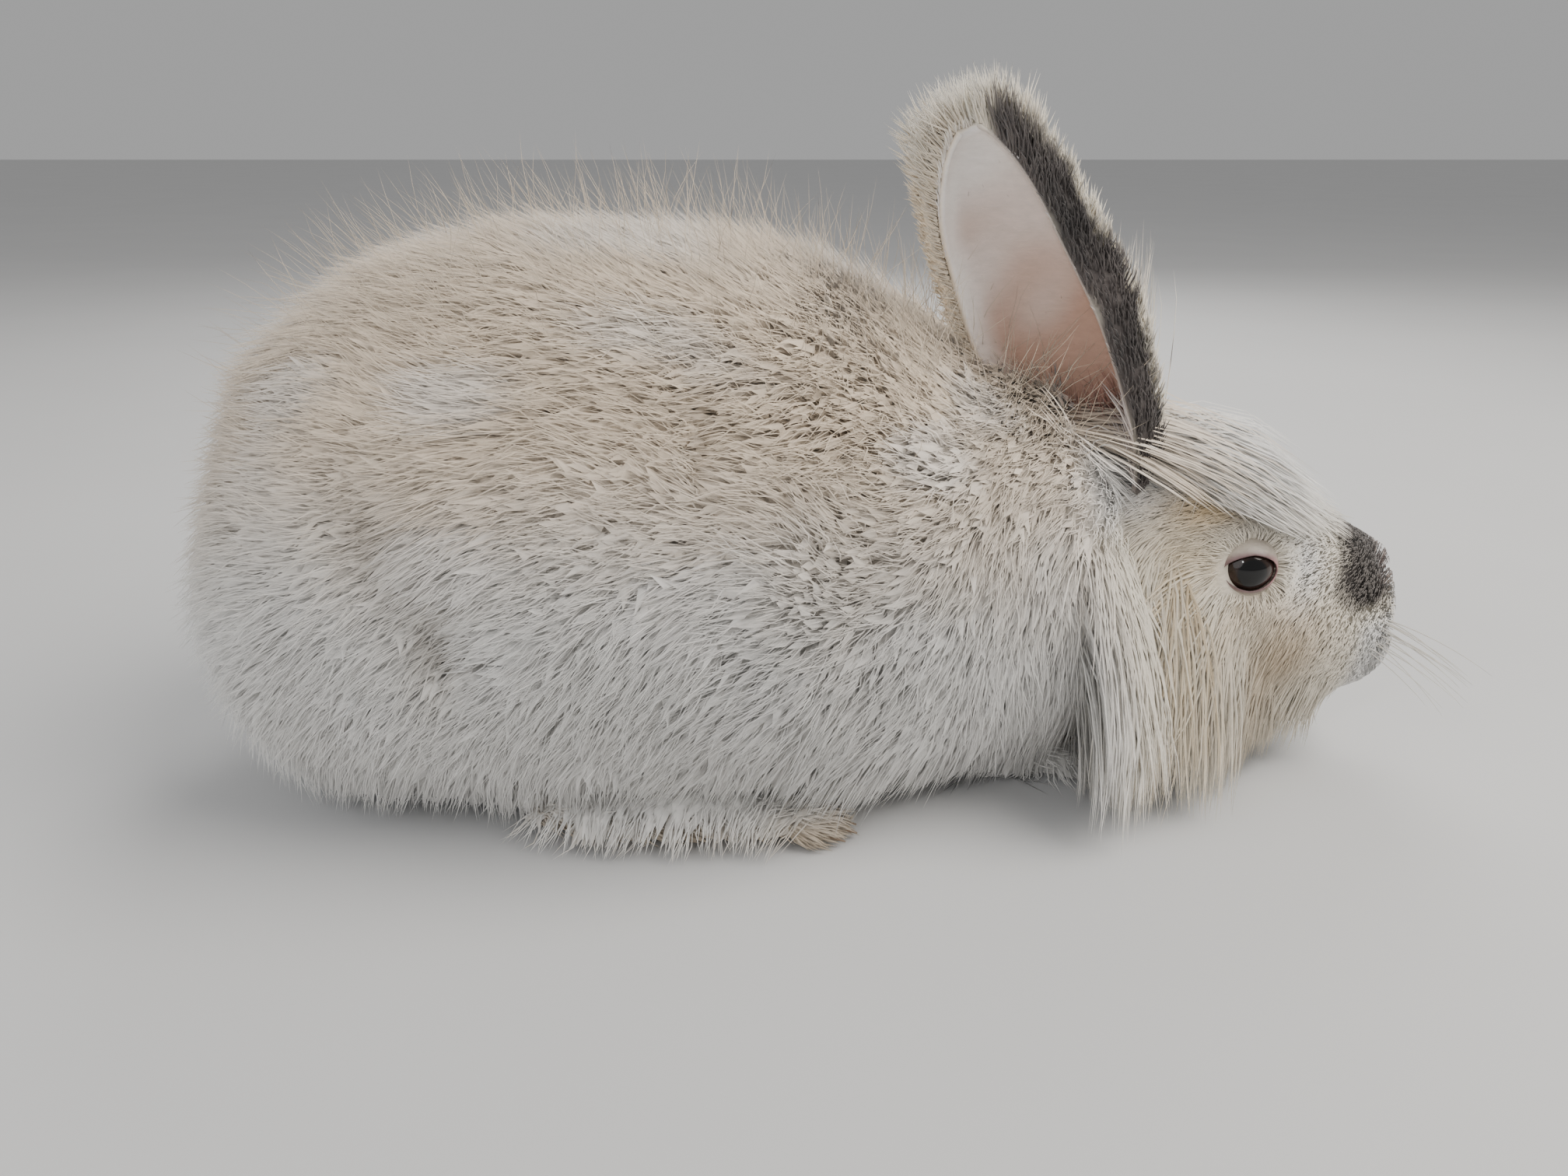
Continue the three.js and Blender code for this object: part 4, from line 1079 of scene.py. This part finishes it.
# %% [markdown]
# Whiskers are few, long and stiff. They leave the whisker pads forward and down, and bend a
# little. Guard hairs are as thin, but stand up along the back, where they catch the light.

# %% Whiskers and guard hairs
WHISKERS, WISP_HAIRS, GUARD_HAIRS = 34, 150, 1200


def whiskers(count):
    side = np.where(np.arange(count) % 2, 1, -1)
    row = rng.uniform(0, 1, count)
    root = xyz(rng.uniform(198, 207, count), side * rng.uniform(11, 13.5, count), 44 + 12 * row)
    normal = unit(xyz(0.4, side, 0))
    stray = 0.12 * rng.normal(size=(count, 3))
    first = unit(xyz(0.55 + 0.4 * row, 0.9 * side, 0.1 * row - 0.25) + stray)
    last = unit(first + xyz(0.1, -0.1 * side, -0.55))
    length = rng.uniform(24, 42, count)
    path = tuft_paths(root, normal, first, last, length, 0 * length, rings=8, sink=2.0)
    colour = np.tile(linear((0.92, 0.90, 0.86)), (count, 1))
    return root, normal, above_floor(path), np.full(count, 0.42), colour, colour


def top_of_back(p, n):
    return body_density(p, n) * step(0.45, 0.8, n[:, 2]) * (np.abs(p[:, 1]) < 66)


def guard_hairs(count):
    root, normal = scatter(SURFACE, top_of_back, count)
    lie = lie_of_body(root, normal)
    stray = rng.normal(size=(count, 3)) * 0.22
    first = unit(normal + 0.3 * lie + stray)
    last = unit(normal + 0.5 * lie + stray * 1.6)
    length = rng.uniform(22, 34, count)
    path = tuft_paths(root, normal, first, last, length, rng.uniform(0.5, 2.0, count), rings=4)
    colour = np.tile(linear((0.80, 0.74, 0.66)), (count, 1))
    return root, normal, above_floor(path), np.full(count, 0.26), colour, colour


def wisp(count):
    """The thin, upright tuft of long hair that stands between the ears."""
    root = np.array([112, 0, 113]) + rng.normal(size=(count, 3)) * np.array([3, 6, 1.5])
    normal = np.tile([0.0, 0.0, 1.0], (count, 1))
    first = unit(xyz(rng.normal(0.12, 0.10, count), rng.normal(0, 0.12, count), 1))
    last = unit(xyz(rng.normal(-0.05, 0.14, count), rng.normal(0, 0.14, count), 1))
    length = rng.uniform(30, 68, count)
    path = tuft_paths(root, normal, first, last, length, 0.02 * length, rings=5)
    path = gathered(root, path, 5, 0.5)
    colour = np.tile(linear((0.90, 0.87, 0.82)), (count, 1))
    return root, normal, path, np.full(count, 0.45), colour, colour


WHISKER = fur_material("whisker", 500.0, 0.1, 0.0, Roughness=0.4)
add_round("whiskers", "face_fur", whiskers(WHISKERS), HEAD_FORM, WHISKER, soft=0.0)
add_round("wisp", "face_fur", wisp(WISP_HAIRS), HEAD_FORM, WHISKER, soft=0.3)
add_round("guard_hairs", "wool", guard_hairs(GUARD_HAIRS), BODY_FORM, WHISKER)

# %% [markdown]
# The feet show only at the hem. Their fur is short, flat and brownish, so it takes small
# tufts, and the claws are short bent cones that just reach out of it.

# %% Feet
HIND_CLAW_REACH, FORE_CLAW_REACH = 8.0, 6.2
CLAW = {"wide": 1.1, "tip": 0.25, "length": 7.0, "droop": 1.4}
FOOT_TUFTS = int(2500 * few)


def top_of_feet(p, n):
    return in_feet(p) * (n[:, 2] > -0.6)


def feet_coat(count):
    root, normal = scatter(SURFACE, top_of_feet, count)
    lie = across(xyz(1.0 + 0 * root[:, 0], 0, -0.3), normal)
    stray = rng.normal(size=(count, 3)) * 0.15
    first, last = unit(lie + normal * 0.4 + stray), unit(lie + normal * 0.1 + stray)
    length = rng.uniform(4, 8, count)
    path = tuft_paths(root, normal, first, last, length, 0.03 * length, rings=2, sink=0.6)
    colour = markings_and_shade(root)
    width = rng.uniform(0.7, 1.1, count)
    return root, normal, above_floor(path, 0.5, 3.0), width, colour, colour


add_round("coat_feet", "wool", feet_coat(FOOT_TUFTS), BODY_FORM, FUR)

bm = bmesh.new()
toes = [(at, HIND_CLAW_REACH) for at in HIND_TOES]
toes += [(at, FORE_CLAW_REACH) for at in FORE_TOES]
long = CLAW["length"]
for toe, reach in toes:
    for at in both_sides(toe):
        place = Matrix.Translation((at[0] + reach, at[1], at[2] - 0.4))
        place = place @ Matrix.Rotation(math.radians(100), 4, "Y")
        ends = {"radius1": CLAW["wide"], "radius2": CLAW["tip"], "depth": long}
        made = bmesh.ops.create_cone(bm, cap_ends=True, segments=10, matrix=place, **ends)
        for vert in made["verts"]:
            along = (vert.co.x - at[0] - reach + long / 2) / long
            vert.co.z = max(vert.co.z - CLAW["droop"] * along**2, 0.4)
piece = object_of(bm, "claws")
co = vertices_of(piece.data)
paint(piece.data, np.tile(linear((0.50, 0.42, 0.34)), (len(co), 1)))
finished(piece, WHISKER)

# %% [markdown]
# Every piece was made in millimetres, and now moves to metres in the frame of the solids. As
# the rabbit is still, all of it rides on one body. The skin stands for torso, head and legs.

# %% Place everything in the shared frame
pieces.append(skin)
for piece in pieces:
    placed(piece)
    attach(piece, "root")
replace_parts(skin, "torso", "neck", "tail", "head", "hindleg_left", "hindleg_right")
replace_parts(skin, "foreleg_left", "foreleg_right")
print("triangles", sum(len(piece.data.loops) - 2 * len(piece.data.polygons) for piece in pieces))

# %% [markdown]
# The light is that of a plain studio. A warm key from the front gives the wool its depth, a
# weak fill and a rim lighten the shadows, and a small glint makes the eye look wet.

# %% Floor and light
FLOOR_HALF = 9.0

bm = bmesh.new()
bmesh.ops.create_grid(bm, x_segments=2, y_segments=2, size=FLOOR_HALF)
piece = object_of(bm, "floor")
material, shader = principled("pale floor", Roughness=0.85)
nodes = material.node_tree.nodes
place = nodes.new("ShaderNodeTexCoord")
noise = with_inputs(nodes.new("ShaderNodeTexNoise"), Scale=6.0)
ramp = nodes.new("ShaderNodeValToRGB")
ramp.color_ramp.elements[0].color = (0.60, 0.60, 0.60, 1)
ramp.color_ramp.elements[1].color = (0.64, 0.64, 0.64, 1)
wire(
    material.node_tree.links,
    (place, "Object", noise, "Vector"),
    (noise, "Fac", ramp, "Fac"),
    (ramp, "Color", shader, "Base Color"),
)
piece.data.materials.append(material)


def area_light(name, place, target, size, power, colour):
    data = bpy.data.lights.new(name, "AREA")
    data.shape = "DISK"
    data.size = size
    data.energy = power
    data.color = colour
    light = linked(name, data)
    light.location = place
    light.rotation_euler = (Vector(target) - Vector(place)).to_track_quat("-Z", "Y").to_euler()


area_light("key", (0.9, -0.35, 1.2), (0, 0, 0.08), 1.3, 24, (1.0, 0.96, 0.90))
area_light("fill", (-1.0, -0.9, 0.7), (0, 0, 0.08), 1.4, 7, (0.95, 0.97, 1.0))
area_light("rim", (0.1, 1.1, 0.9), (0, 0, 0.1), 1.0, 9, (1.0, 0.98, 0.95))
area_light("glint", (-0.12, -0.55, 0.42), (0.15, -0.03, 0.08), 0.05, 0.5, (1.0, 1.0, 1.0))
world = bpy.data.worlds.new("room")
bpy.context.scene.world = world
world.use_nodes = True
with_inputs(world.node_tree.nodes["Background"], Color=(0.80, 0.80, 0.80, 1), Strength=0.5)
